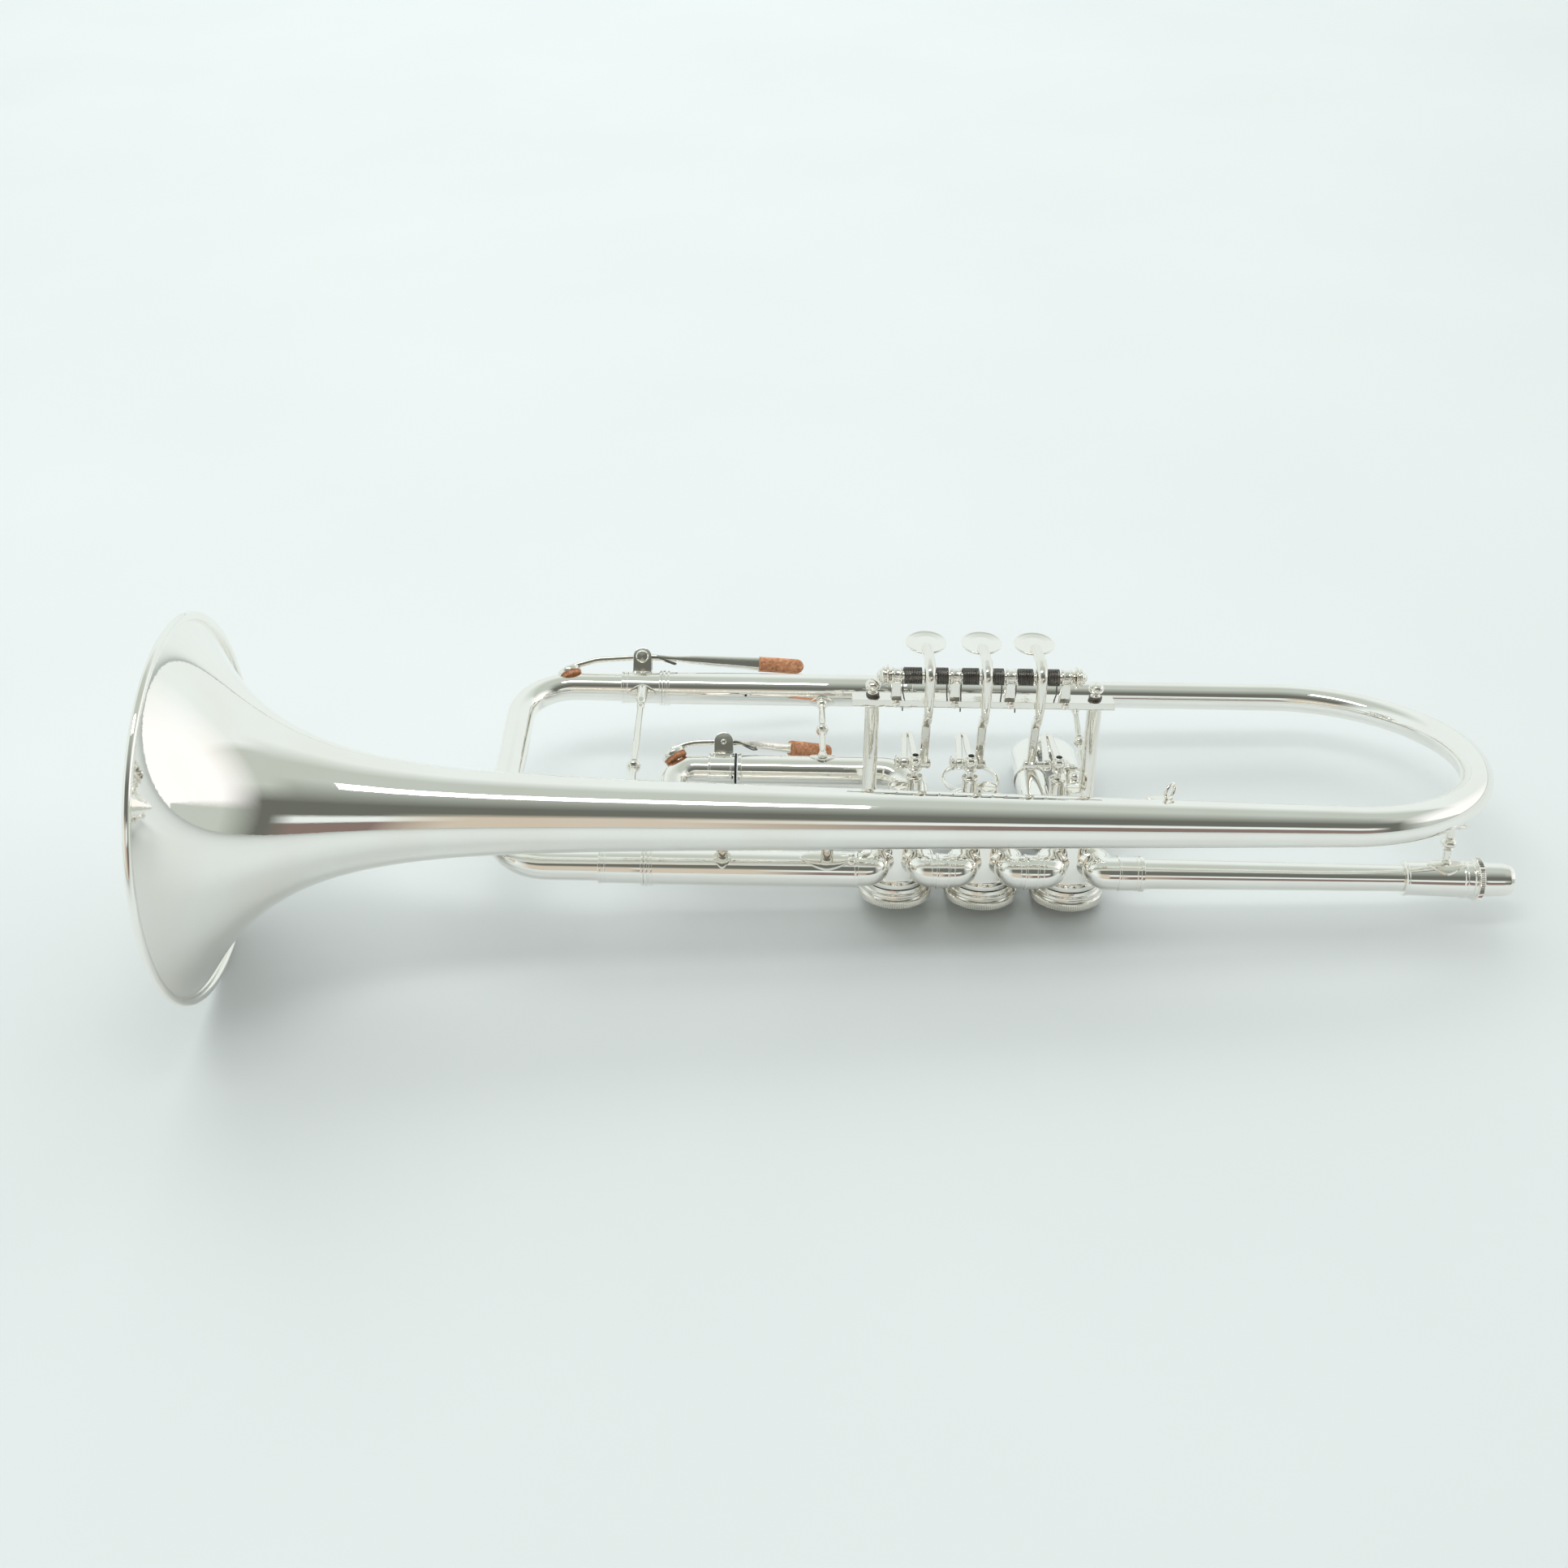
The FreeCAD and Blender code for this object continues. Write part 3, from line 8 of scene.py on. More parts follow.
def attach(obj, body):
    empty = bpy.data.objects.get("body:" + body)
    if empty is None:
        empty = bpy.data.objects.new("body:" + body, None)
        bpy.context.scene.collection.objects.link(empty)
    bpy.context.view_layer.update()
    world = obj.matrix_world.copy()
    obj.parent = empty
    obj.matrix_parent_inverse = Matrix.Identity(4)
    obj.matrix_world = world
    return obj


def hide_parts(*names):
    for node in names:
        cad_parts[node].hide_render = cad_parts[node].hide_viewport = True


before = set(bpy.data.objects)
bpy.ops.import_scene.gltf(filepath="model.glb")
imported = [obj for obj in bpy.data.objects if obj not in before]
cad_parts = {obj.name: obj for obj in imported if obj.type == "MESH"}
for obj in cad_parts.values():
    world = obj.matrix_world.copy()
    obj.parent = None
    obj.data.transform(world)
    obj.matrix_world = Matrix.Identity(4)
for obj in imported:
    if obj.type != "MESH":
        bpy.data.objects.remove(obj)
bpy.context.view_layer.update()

V = Vector
X = V((1, 0, 0))
Y = V((0, 1, 0))
Z = V((0, 0, 1))
LAID_ROLL = math.radians(10.05)
LAID_PITCH = math.radians(2.45)
LAID_SHIFT = V((44.897, -12.012, 3.65))
MILLIMETRE = 0.001
HORN_TO_ROW = (
    Matrix.Translation(LAID_SHIFT)
    @ Matrix.Rotation(LAID_PITCH, 4, "Y")
    @ Matrix.Rotation(-LAID_ROLL, 4, "X")
)
LAID = Matrix.Scale(MILLIMETRE, 4) @ HORN_TO_ROW

# ---------------------------------------------------------------- sizes of the horn, as in the CAD
BELL = V((0, -33, 49.2))
UPPER = V((0, 91.5, 43.5))
LINE = V((0, -16.5, 19.2))
THIRD_UPPER = V((0, 47, 27.7))
THIRD_LOWER = V((0, 20.5, 19.2))
BELL_MOUTH = -286
MOUTH_RADIUS = 70
FLARE_REACH = 27.9
FLARE_POWER = 0.94
BOW_START = 126.2
TAIL_LENGTH = BOW_START - BELL_MOUTH
THROAT = 15.63
TAIL_SLOPE = 0.0201
UPPER_END = -28
RECEIVER_START = 154
PITCH = 32.8
KNUCKLE_SIDE = 9.1
KNUCKLE_FRONT = -10.1
KNUCKLE_RADIUS = 6.1
KNUCKLE_BEND = 6.4
PORT_BEND = 3
TUBE_SIDES = 64
LINE_START = PITCH + KNUCKLE_SIDE + 6.4
LOOP_SIDE = 8.1
LOOP_BACK = 9.6
LOOP_RADIUS = 6.3
LOOP_LEG = 5.75
SLIDE_RADIUS = 6.7
SLIDE_LEG = 6.15
SLIDE_MOUTH = -126.7
CROOK_START = -143.8
CROOK_RADIUS = 5.7
CROOK_BEND = 40
HINGE = V((0, 5, 88.5))
HINGE_LEFT = -38.6
HINGE_RIGHT = 31.2
PLATE_BOTTOM = 77.4
PLATE_TOP = 80.0
POSTS = (-35.2, -13.8, 6.4, 26.6)
PIN_BACK = 11
PIN_HEIGHT = 50.2
STUD_OFFSET = 6.0
PLATE_LEAN = math.radians(10)
LINK_GAP = 3.7
KEY_LEAN = math.radians(30)
MAIN_PAD_X = -162
THIRD_PAD_X = -114.5
FINGER_Y = 27
FINGER_HEIGHT = 91.3
BALL_HEIGHT = 53.2
HAIRPIN_Y = 29.4
# Number, X, side of the ball stud and lever X of each valve.
VALVES = ((1, PITCH, -1, 17.0), (2, 0.0, -1, -2.7), (3, -PITCH, 1, -23.4))


def at(line, x):
    """The point of a line parallel to X at one X."""
    return V((x, line.y, line.z))


# ---------------------------------------------------------------- shapes: (points, faces)
def joined(*shapes):
    """Several shapes as one."""
    points, faces = [], []
    for more_points, more_faces in shapes:
        first = len(points)
        points += more_points
        faces += [tuple(first + i for i in face) for face in more_faces]
    return points, faces


def across_axis(axis):
    """Two unit vectors square to an axis and to each other."""
    axis = axis.normalized()
    helper = Z if abs(axis.z) < 0.8 else Y
    side = axis.cross(helper).normalized()
    return side, axis.cross(side)


def skin(rings, loop=False):
    """A shape from rings of points, with faces between them. A ring of one point is a tip."""
    points = [point for row in rings for point in row]
    numbers = iter(range(len(points)))
    rows = [[next(numbers) for _ in row] for row in rings]
    faces = []
    pairs = list(zip(rows, rows[1:]))
    if loop:
        pairs.append((rows[-1], rows[0]))
    for low, high in pairs:
        count = max(len(low), len(high))
        for i in range(count):
            j = (i + 1) % count
            corners = [low[i % len(low)], low[j % len(low)], high[j % len(high)], high[i % len(high)]]
            faces.append(tuple(dict.fromkeys(corners)))
    if not loop:
        faces += [tuple(row) for row in (rows[0], rows[-1]) if len(row) > 2]
    return points, faces


def circle(count):
    """Angles spaced evenly round a circle."""
    return [2 * math.pi * i / count for i in range(count)]


def lathe(profile, origin, axis, sides=72, loop=False, knurl=None):
    """A turned shape from (distance along the axis, radius) pairs.

    knurl is (start, end, teeth, depth): fine teeth round that stretch of the profile.
    """
    axis = axis.normalized()
    side, up = across_axis(axis)
    start, end, teeth, depth = knurl or (0, 0, 0, 0)
    rings = []
    for along, radius in profile:
        centre = origin + axis * along
        if radius < 1e-4:
            rings.append([centre])
            continue
        rings.append([])
        for angle in circle(teeth * 4 or sides):
            reach = radius
            if teeth and start <= along <= end:
                reach -= depth * (0.5 - 0.5 * math.cos(teeth * angle))
            rings[-1].append(centre + (side * math.cos(angle) + up * math.sin(angle)) * reach)
    return skin(rings, loop)


def softened(profile, radius=0.2, steps=3):
    """A profile with its inner corners rounded by up to the radius."""
    result = [profile[0]]
    for before, corner, after in zip(profile, profile[1:], profile[2:]):
        here = V(corner)
        back = V(before) - here
        ahead = V(after) - here
        reach = min(radius, back.length * 0.45, ahead.length * 0.45)
        if reach < 0.01:
            result.append(corner)
            continue
        start = here + back.normalized() * reach
        end = here + ahead.normalized() * reach
        for i in range(steps + 1):
            t = i / steps
            spot = start * (1 - t) ** 2 + here * (2 * t * (1 - t)) + end * t * t
            result.append((spot.x, spot.y))
    result.append(profile[-1])
    return result


def turned(profile, origin, axis, radius=0.2, **options):
    """A turned shape with softened corners."""
    return lathe(softened(profile, radius), origin, axis, **options)


def hollow(profile, origin, axis, radius=0.2, **options):
    """A turned shape whose profile comes back to its first point."""
    return lathe(softened(profile, radius)[:-1], origin, axis, loop=True, **options)


def cylinder(start, end, radius, origin, axis):
    """A round bar with softened edges."""
    return turned([(start, 0), (start, radius), (end, radius), (end, 0)], origin, axis)


def barrel(half, origin, axis):
    """A turned shape whose two ends are alike, from the half of its profile beyond the origin."""
    mirrored = [(-along, radius) for along, radius in reversed(half)]
    return turned(mirrored + half, origin, axis)


def ring(inner, outer, start, end, line, **options):
    """A band round a line parallel to X."""
    profile = [(start, inner), (start, outer), (end, outer), (end, inner)]
    return turned(profile, at(line, 0), X, 0.25, **options)


def rounded_path(points, bend, step=5.0):
    """Points along straight runs, with an arc of the given radius at each corner."""
    bends = bend if isinstance(bend, (list, tuple)) else [bend] * (len(points) - 2)
    path = [points[0]]
    for before, corner, after, radius in zip(points, points[1:], points[2:], bends):
        into = (corner - before).normalized()
        out = (after - corner).normalized()
        turn = into.angle(out)
        if turn < 1e-3:
            path.append(corner)
            continue
        radius = min(radius, 0.49 * min((corner - before).length, (after - corner).length)
                     / math.tan(turn / 2))
        centre = corner + (out - into).normalized() * (radius / math.cos(turn / 2))
        start = corner - into * radius * math.tan(turn / 2)
        axis = into.cross(out).normalized()
        steps = max(3, math.ceil(math.degrees(turn) / step))
        for i in range(steps + 1):
            path.append(centre + Matrix.Rotation(turn * i / steps, 3, axis) @ (start - centre))
    path.append(points[-1])
    return path


def filled_in(path, longest=6.0):
    """The path with its long runs divided, so that a tapering bar tapers evenly."""
    result = [path[0]]
    for start, end in zip(path, path[1:]):
        parts = max(1, math.ceil((end - start).length / longest))
        result += [start.lerp(end, (i + 1) / parts) for i in range(parts)]
    return result


def lengths_along(path):
    """The distance from the start of a path to each of its points."""
    lengths = [0.0]
    for start, end in zip(path, path[1:]):
        lengths.append(lengths[-1] + (end - start).length)
    return lengths


def bar(path, size, side=None, square=0.0, sides=32, loop=False):
    """A closed bar along a path.

    size is a radius, or a function of the fraction of the length that gives the half width along
    side and the half depth. square turns its section from an ellipse, 0, towards a rectangle, 1.
    """
    path = [p for i, p in enumerate(path) if i == 0 or (p - path[i - 1]).length > 1e-4]
    lengths = lengths_along(path)
    tangents = []
    for i in range(len(path)):
        before = path[i - 1] if i else (path[-1] if loop else path[0])
        after = path[i + 1] if i + 1 < len(path) else (path[0] if loop else path[-1])
        tangents.append((after - before).normalized())
    width = side or across_axis(tangents[0])[0]
    rings = []
    for point, tangent, length in zip(path, tangents, lengths):
        width = (side or width) - tangent * (side or width).dot(tangent)
        width.normalize()
        depth = tangent.cross(width)
        fraction = length / lengths[-1]
        wide, deep = size(fraction) if callable(size) else (size, size)
        power = 1 / (1 + 3 * (square(fraction) if callable(square) else square))
        rings.append([])
        for angle in circle(sides):
            c, s = math.cos(angle), math.sin(angle)
            c = math.copysign(abs(c) ** power, c)
            s = math.copysign(abs(s) ** power, s)
            rings[-1].append(point + width * (c * wide) + depth * (s * deep))
    return skin(rings, loop)


def pipe(line, start, end, outer, inner, end_outer=None):
    """A straight open tube parallel to X with softened lips."""
    far = end_outer or outer
    wall = outer - inner
    profile = [(start, inner), (start, outer), (end, far), (end, far - wall), (start, inner)]
    return hollow(profile, at(line, 0), X)


def slab(outline, thickness, origin, u, v, bevel=0.25):
    """A flat plate: an outline in u and v, thickened along their cross product, with eased edges."""
    w = u.cross(v).normalized()
    count = len(outline)
    middle = V((sum(p[0] for p in outline) / count, sum(p[1] for p in outline) / count))
    rings = []
    for lift, inset in ((0, bevel), (bevel * 0.3, bevel * 0.3), (bevel, 0), (thickness - bevel, 0),
                        (thickness - bevel * 0.3, bevel * 0.3), (thickness, bevel)):
        rings.append([])
        for corner in outline:
            spot = V(corner)
            spot -= (spot - middle).normalized() * inset
            rings[-1].append(origin + u * spot.x + v * spot.y + w * lift)
    return skin(rings)


def patch(centre, radius, out, half_length, half_angle, thick, pointed=1.0):
    """A thin plate wrapped on a tube parallel to X. pointed 1 gives a leaf, 0 a rounded oblong."""
    out = out.normalized()
    around = X.cross(out)
    columns, rows = 25, 13
    points = []
    for level in (0, 1):
        for i in range(columns):
            u = -1 + 2 * i / (columns - 1)
            leaf = (1 - abs(u) ** 1.6) ** 0.9
            oblong = (1 - abs(u) ** 8) ** 0.5
            spread = half_angle * (leaf * pointed + oblong * (1 - pointed))
            for j in range(rows):
                v = -1 + 2 * j / (rows - 1)
                ease = (1 - abs(v) ** 6) ** 0.5 * (1 - abs(u) ** 10) ** 0.5
                reach = radius - 0.3 + level * (0.3 + thick * ease)
                angle = v * spread
                points.append(centre + X * (u * half_length)
                              + (out * math.cos(angle) + around * math.sin(angle)) * reach)
    faces = []
    for level in (0, 1):
        first = level * columns * rows
        for i in range(columns - 1):
            for j in range(rows - 1):
                a = first + i * rows + j
                faces.append((a, a + 1, a + rows + 1, a + rows))
    edge = list(range(rows))
    edge += [i * rows + rows - 1 for i in range(1, columns)]
    edge += [(columns - 1) * rows + j for j in range(rows - 2, -1, -1)]
    edge += [i * rows for i in range(columns - 2, 0, -1)]
    shift = columns * rows
    for a, b in zip(edge, edge[1:] + edge[:1]):
        faces.append((a, b, b + shift, a + shift))
    return points, faces


def ball(centre, radius, sides=40):
    """A sphere."""
    steps = sides // 2
    profile = []
    for i in range(steps + 1):
        angle = math.pi * i / steps
        profile.append((-radius * math.cos(angle), radius * math.sin(angle)))
    return lathe(profile, centre, Z, sides=sides)


def box(centre, u, v, w):
    """A plain box from its centre and three half edges, used to cut with."""
    points = []
    for a in (-1, 1):
        for b in (-1, 1):
            for c in (-1, 1):
                points.append(centre + u * a + v * b + w * c)
    return points, [(0, 1, 3, 2), (4, 6, 7, 5), (0, 4, 5, 1), (2, 3, 7, 6), (0, 2, 6, 4), (1, 5, 7, 3)]


def shown(name, data):
    """A new object in the scene."""
    item = bpy.data.objects.new(name, data)
    bpy.context.scene.collection.objects.link(item)
    return item


def mesh_of(name, shape):
    """A mesh whose faces all look outward."""
    mesh = bpy.data.meshes.new(name)
    mesh.from_pydata([tuple(p) for p in shape[0]], [], shape[1])
    work = bmesh.new()
    work.from_mesh(mesh)
    bmesh.ops.remove_doubles(work, verts=work.verts, dist=1e-4)
    bmesh.ops.recalc_face_normals(work, faces=work.faces)
    work.to_mesh(mesh)
    work.free()
    return mesh


def carved(shape, *cutters):
    """The shape with the cutters taken away."""
    base = shown("carving", mesh_of("carving", shape))
    tools = []
    for cutter in cutters:
        tool = shown("cutter", mesh_of("cutter", cutter))
        modifier = base.modifiers.new("cut", "BOOLEAN")
        modifier.operation = "DIFFERENCE"
        modifier.solver = "EXACT"
        modifier.object = tool
        tools.append(tool)
    depsgraph = bpy.context.evaluated_depsgraph_get()
    result = bpy.data.meshes.new_from_object(base.evaluated_get(depsgraph))
    points = [v.co.copy() for v in result.vertices]
    faces = [tuple(p.vertices) for p in result.polygons]
    for item in (base, *tools):
        bpy.data.objects.remove(item)
    bpy.data.meshes.remove(result)
    return points, faces


def slotted(profile, origin, axis, slot_direction, width=0.8, depth=0.9, **options):
    """A turned screw head with a driver's slot across its end."""
    axis = axis.normalized()
    top = max(along for along, _ in profile)
    reach = max(radius for _, radius in profile) + 1
    slot_direction = (slot_direction - axis * slot_direction.dot(axis)).normalized()
    across = axis.cross(slot_direction)
    cutter = box(origin + axis * top, slot_direction * reach, across * (width / 2), axis * depth)
    return carved(turned(profile, origin, axis, **options), cutter)


# ---------------------------------------------------------------- materials
def node(tree, kind, **inputs):
    """A shader node with some of its inputs set by name."""
    item = tree.nodes.new(kind)
    for key, value in inputs.items():
        item.inputs[key.replace("_", " ")].default_value = value
    return item


def ramp(tree, source, stops):
    """A colour ramp over a value: (position, colour) pairs."""
    item = tree.nodes.new("ShaderNodeValToRGB")
    while len(item.color_ramp.elements) < len(stops):
        item.color_ramp.elements.new(0.5)
    for element, (position, colour) in zip(item.color_ramp.elements, stops):
        element.position = position
        element.color = (*colour, 1)
    tree.links.new(source, item.inputs[0])
    return item.outputs[0]


def mask(tree, source, start, end):
    """Black up to the start of a range of values, and white from its end."""
    return ramp(tree, source, [(start, (0, 0, 0)), (end, (1, 1, 1))])


def blend(tree, factor, low, high):
    """Two colours mixed by a factor."""
    item = tree.nodes.new("ShaderNodeMix")
    item.data_type = "RGBA"
    tree.links.new(factor, item.inputs["Factor"])
    for socket, value in (("A", low), ("B", high)):
        if isinstance(value, tuple):
            item.inputs[socket].default_value = (*value, 1)
        else:
            tree.links.new(value, item.inputs[socket])
    return item.outputs["Result"]


def bump(tree, height, strength, distance, under=None):
    """The normal of a bumpy surface, laid over another normal where one is given."""
    item = node(tree, "ShaderNodeBump", Strength=strength, Distance=distance)
    tree.links.new(height, item.inputs["Height"])
    if under is not None:
        tree.links.new(under, item.inputs["Normal"])
    return item.outputs["Normal"]


def new_material(name):
    """An empty procedural material: its tree, its shader and its object coordinates."""
    material = bpy.data.materials.new(name)
    material.use_nodes = True
    tree = material.node_tree
    shader = tree.nodes["Principled BSDF"]
    coordinates = tree.nodes.new("ShaderNodeTexCoord").outputs["Object"]
    return material, tree, shader, coordinates


def noise(tree, coordinates, scale, detail=4.0, stretch=None):
    """Noise over the object's own coordinates, in metres, stretched where asked."""
    source = coordinates
    if stretch:
        mapping = node(tree, "ShaderNodeMapping", Scale=stretch)
        tree.links.new(source, mapping.inputs["Vector"])
        source = mapping.outputs["Vector"]
    item = node(tree, "ShaderNodeTexNoise", Scale=scale, Detail=detail)
    tree.links.new(source, item.inputs["Vector"])
    return item.outputs["Fac"]


def metal(name, bright, warm, smooth, rough, waviness=0.0, wave_scale=90.0):
    """Plated metal: colour drifts between two tones, polish varies, and faint wiping marks show."""
    material, tree, shader, coordinates = new_material(name)
    shader.inputs["Metallic"].default_value = 1.0
    tone = noise(tree, coordinates, 38.0, 3.0)
    tree.links.new(ramp(tree, tone, [(0.35, bright), (0.72, warm)]), shader.inputs["Base Color"])
    polish = noise(tree, coordinates, 240.0, 6.0, (1.0, 2.4, 1.0))
    grey = [(0.3, (smooth,) * 3), (0.78, (rough,) * 3)]
    tree.links.new(ramp(tree, polish, grey), shader.inputs["Roughness"])
    normal = bump(tree, noise(tree, coordinates, 900.0, 2.0, (0.12, 1.0, 1.0)), 0.012, 0.0004)
    if waviness:
        normal = bump(tree, noise(tree, coordinates, wave_scale, 1.0), waviness, 0.001, normal)
    tree.links.new(normal, shader.inputs["Normal"])
    return material


def cork_material():
    """Pressed cork: reddish brown grains with dark pores."""
    material, tree, shader, coordinates = new_material("pressed_cork")
    grains = node(tree, "ShaderNodeTexVoronoi", Scale=900.0)
    tree.links.new(coordinates, grains.inputs["Vector"])
    grain_colour = ramp(tree, grains.outputs["Color"], [
        (0.1, (0.42, 0.18, 0.09)), (0.5, (0.58, 0.26, 0.135)), (0.9, (0.72, 0.36, 0.20)),
    ])
    pores = noise(tree, coordinates, 1500.0, 5.0)
    colour = blend(tree, mask(tree, pores, 0.60, 0.68), grain_colour, (0.16, 0.06, 0.03))
    tree.links.new(colour, shader.inputs["Base Color"])
    shader.inputs["Roughness"].default_value = 0.82
    tree.links.new(bump(tree, pores, 0.55, 0.0004), shader.inputs["Normal"])
    return material


def rubber_material():
    """Black rubber of the stops and the bumper ring."""
    material, tree, shader, coordinates = new_material("black_rubber")
    tone = noise(tree, coordinates, 500.0, 4.0)
    colours = [(0.3, (0.012, 0.012, 0.013)), (0.8, (0.035, 0.033, 0.032))]
    tree.links.new(ramp(tree, tone, colours), shader.inputs["Base Color"])
    shader.inputs["Roughness"].default_value = 0.55
    tree.links.new(bump(tree, tone, 0.2, 0.0002), shader.inputs["Normal"])
    return material


SILVER = (0.95, 0.94, 0.905)
SILVER_WARM = (0.93, 0.905, 0.85)
POLISHED = metal("silver_polished", SILVER, SILVER_WARM, 0.015, 0.045)
DRAWN = metal("silver_drawn_tube", SILVER, SILVER_WARM, 0.03, 0.07, 0.02, 60.0)
CAST = metal("silver_cast", (0.92, 0.90, 0.855), (0.87, 0.84, 0.77), 0.05, 0.12, 0.06, 420.0)
STEEL = metal("spring_steel_dark", (0.20, 0.19, 0.175), (0.12, 0.11, 0.10), 0.25, 0.42)
BRASS = metal("rotor_brass", (0.80, 0.62, 0.32), (0.70, 0.50, 0.24), 0.22, 0.40)
DARK = metal("slot_shadow_steel", (0.06, 0.057, 0.05), (0.035, 0.032, 0.03), 0.35, 0.5)
CORK = cork_material()
RUBBER = rubber_material()


def piece(name, body, material, *shapes, stands_for=(), sharp=34):
    """A finished piece from shapes in the horn frame, riding on a body.

    It stands for the CAD node of its own name, if there is one, or else for the nodes given.
    """
    mesh = mesh_of(name, joined(*shapes))
    mesh.transform(LAID)
    mesh.shade_smooth()
    mesh.set_sharp_from_angle(angle=math.radians(sharp))
    mesh.materials.append(material)
    item = shown(name, mesh)
    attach(item, body)
    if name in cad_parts:
        stands_for = (name,)
    if stands_for:
        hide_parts(*stands_for)


# ---------------------------------------------------------------- bell, bow and upper tube
def bell_outline(distance):
    """Outer radius of the bell at a distance from its mouth."""
    flare = math.exp(-((distance / FLARE_REACH) ** FLARE_POWER))
    return THROAT - TAIL_SLOPE * distance + (MOUTH_RADIUS - THROAT) * flare


def make_bell():
    """The bell's inner skin, rolled rim, outer skin, bow and upper tube as one smooth piece."""
    wall, bead = 0.6, 1.5
    inner_start, outer_start = 1.0, 1.3
    # The rolled rim's arc runs between these angles, in degrees.
    rim_from, rim_to = 250.5, -98
    tail_steps, rim_steps, bow_steps, tube_steps, sides = 130, 28, 96, 20, 192
    start, far = at(BELL, BOW_START), at(UPPER, BOW_START)
    flat = (far - start).normalized()
    across = flat.cross(X)
    centre = (start + far) / 2
    reach = (far - start).length / 2
    # Each station is a centre, the way the tube faces there, and its radius.
    stations = []
    for i in range(tail_steps, -1, -1):
        s = inner_start + (TAIL_LENGTH - inner_start) * (i / tail_steps) ** 2
        stations.append((at(BELL, BELL_MOUTH + s), X, bell_outline(s) - wall))
    for i in range(rim_steps + 1):
        angle = math.radians(rim_from - (rim_from - rim_to) * i / rim_steps)
        lip = at(BELL, BELL_MOUTH + bead + bead * math.cos(angle))
        stations.append((lip, X, MOUTH_RADIUS - bead + bead * math.sin(angle)))
    for i in range(tail_steps + 1):
        s = outer_start + (TAIL_LENGTH - outer_start) * (i / tail_steps) ** 2
        stations.append((at(BELL, BELL_MOUTH + s), X, bell_outline(s)))
    first, last = bell_outline(TAIL_LENGTH), 5.6
    slope = TAIL_SLOPE * math.pi * reach
    for i in range(1, bow_steps + 1):
        t = i / bow_steps
        angle = math.pi * t
        # The taper starts at the tail's own slope and eases off towards the upper tube.
        radius = first - slope * t * (1 - t) ** 2 - (first - last) * t * t * (3 - 2 * t)
        spot = centre - flat * (reach * math.cos(angle)) + X * (reach * math.sin(angle))
        stations.append((spot, X * math.cos(angle) + flat * math.sin(angle), radius))
    for i in range(1, tube_steps + 1):
        t = i / tube_steps
        stations.append((at(UPPER, BOW_START + (UPPER_END - BOW_START) * t), X * -1, last - 0.35 * t))
    rings = []
    for spot, facing, radius in stations:
        up = facing.cross(across)
        rings.append([])
        for angle in circle(sides):
            rings[-1].append(spot + (across * math.cos(angle) + up * math.sin(angle)) * radius)
    collar = ring(5, 7.1, UPPER_END, UPPER_END + 5, UPPER)
    piece("bell_and_bow", "horn", POLISHED, skin(rings), collar,
          stands_for=("bell_flare", "bell_tail", "bell_bow", "upper_tube"), sharp=60)


# ---------------------------------------------------------------- leadpipe and receiver
def make_leadpipe():
    """The tapering leadpipe and the knurled receiver."""
    piece("leadpipe", "horn", POLISHED, pipe(LINE, LINE_START, RECEIVER_START, 5.7, 5.2, 5.0))
    profile = [
        (0, 4.6), (0, 6.2), (0.5, 6.6), (1.1, 6.6), (1.3, 6.25), (2.0, 6.3), (21.3, 6.8),
        (21.6, 7.15), (22.4, 7.15), (22.7, 6.8), (25.0, 6.8), (25.2, 7.5), (25.9, 7.5),
        (26.2, 7.1), (26.6, 8.1), (28.4, 8.1), (28.8, 6.4), (31.0, 6.35), (36.0, 6.2),
        (38.4, 5.95), (39.8, 5.5), (40.2, 5.2), (40.2, 4.95), (16.2, 4.9), (16.2, 4.5), (0, 4.6),
    ]
    receiver = hollow(profile, at(LINE, RECEIVER_START), X, 0.22, knurl=(26.5, 28.5, 64, 0.32))
    piece("mouthpiece_receiver", "horn", POLISHED, receiver)


# ---------------------------------------------------------------- valves
def make_casings():
    """Casing drums, knurled caps and stop plates."""
    plates = []
    for index, x, _, _ in VALVES:
        foot = V((x, 0, 0))
        profile = [(8, 9.5), (8, 12.2), (9.9, 12.2), (10.15, 11.0), (10.9, 10.75), (31, 10.75),
                   (31, 9.5), (8, 9.5)]
        drum = hollow(profile, foot, Z, 0.25, sides=96)
        piece(f"rotor_casing_{index}", "horn", DRAWN, drum)
        profile = [(0, 0), (0, 12.4), (0.5, 13.3), (0.9, 13.85), (3.1, 13.85), (3.45, 13.35),
                   (4.2, 12.95), (4.6, 13.1), (5.0, 12.95), (5.6, 12.9), (6.0, 12.3),
                   (7.6, 12.15), (7.6, 9.6), (2.4, 9.6), (2.4, 0)]
        cap = turned(profile, foot, Z, knurl=(0.85, 3.15, 96, 0.34))
        piece(f"bottom_cap_{index}", "horn", CAST, cap)
        profile = [(31, 3.3), (31, 10.45), (33, 10.45), (33, 8.9), (33.35, 8.7), (33.35, 3.3),
                   (31, 3.3)]
        plates.append(hollow(profile, foot, Z))
    piece("stop_plates", "horn", CAST, *plates)


def port(valve_x, name):
    """Where a tube turns into one of a valve's four ports."""
    row, side = name.split("_")
    sense = -1 if side == "left" else 1
    reach, y = (KNUCKLE_SIDE, KNUCKLE_FRONT) if row == "front" else (LOOP_SIDE, LOOP_BACK)
    return V((valve_x + sense * reach, y, LINE.z))


def into_valve(valve_x, joint):
    """A point inside the casing, on the way from a joint to the valve axis."""
    return V((valve_x, 0, joint.z)).lerp(joint, 0.35)


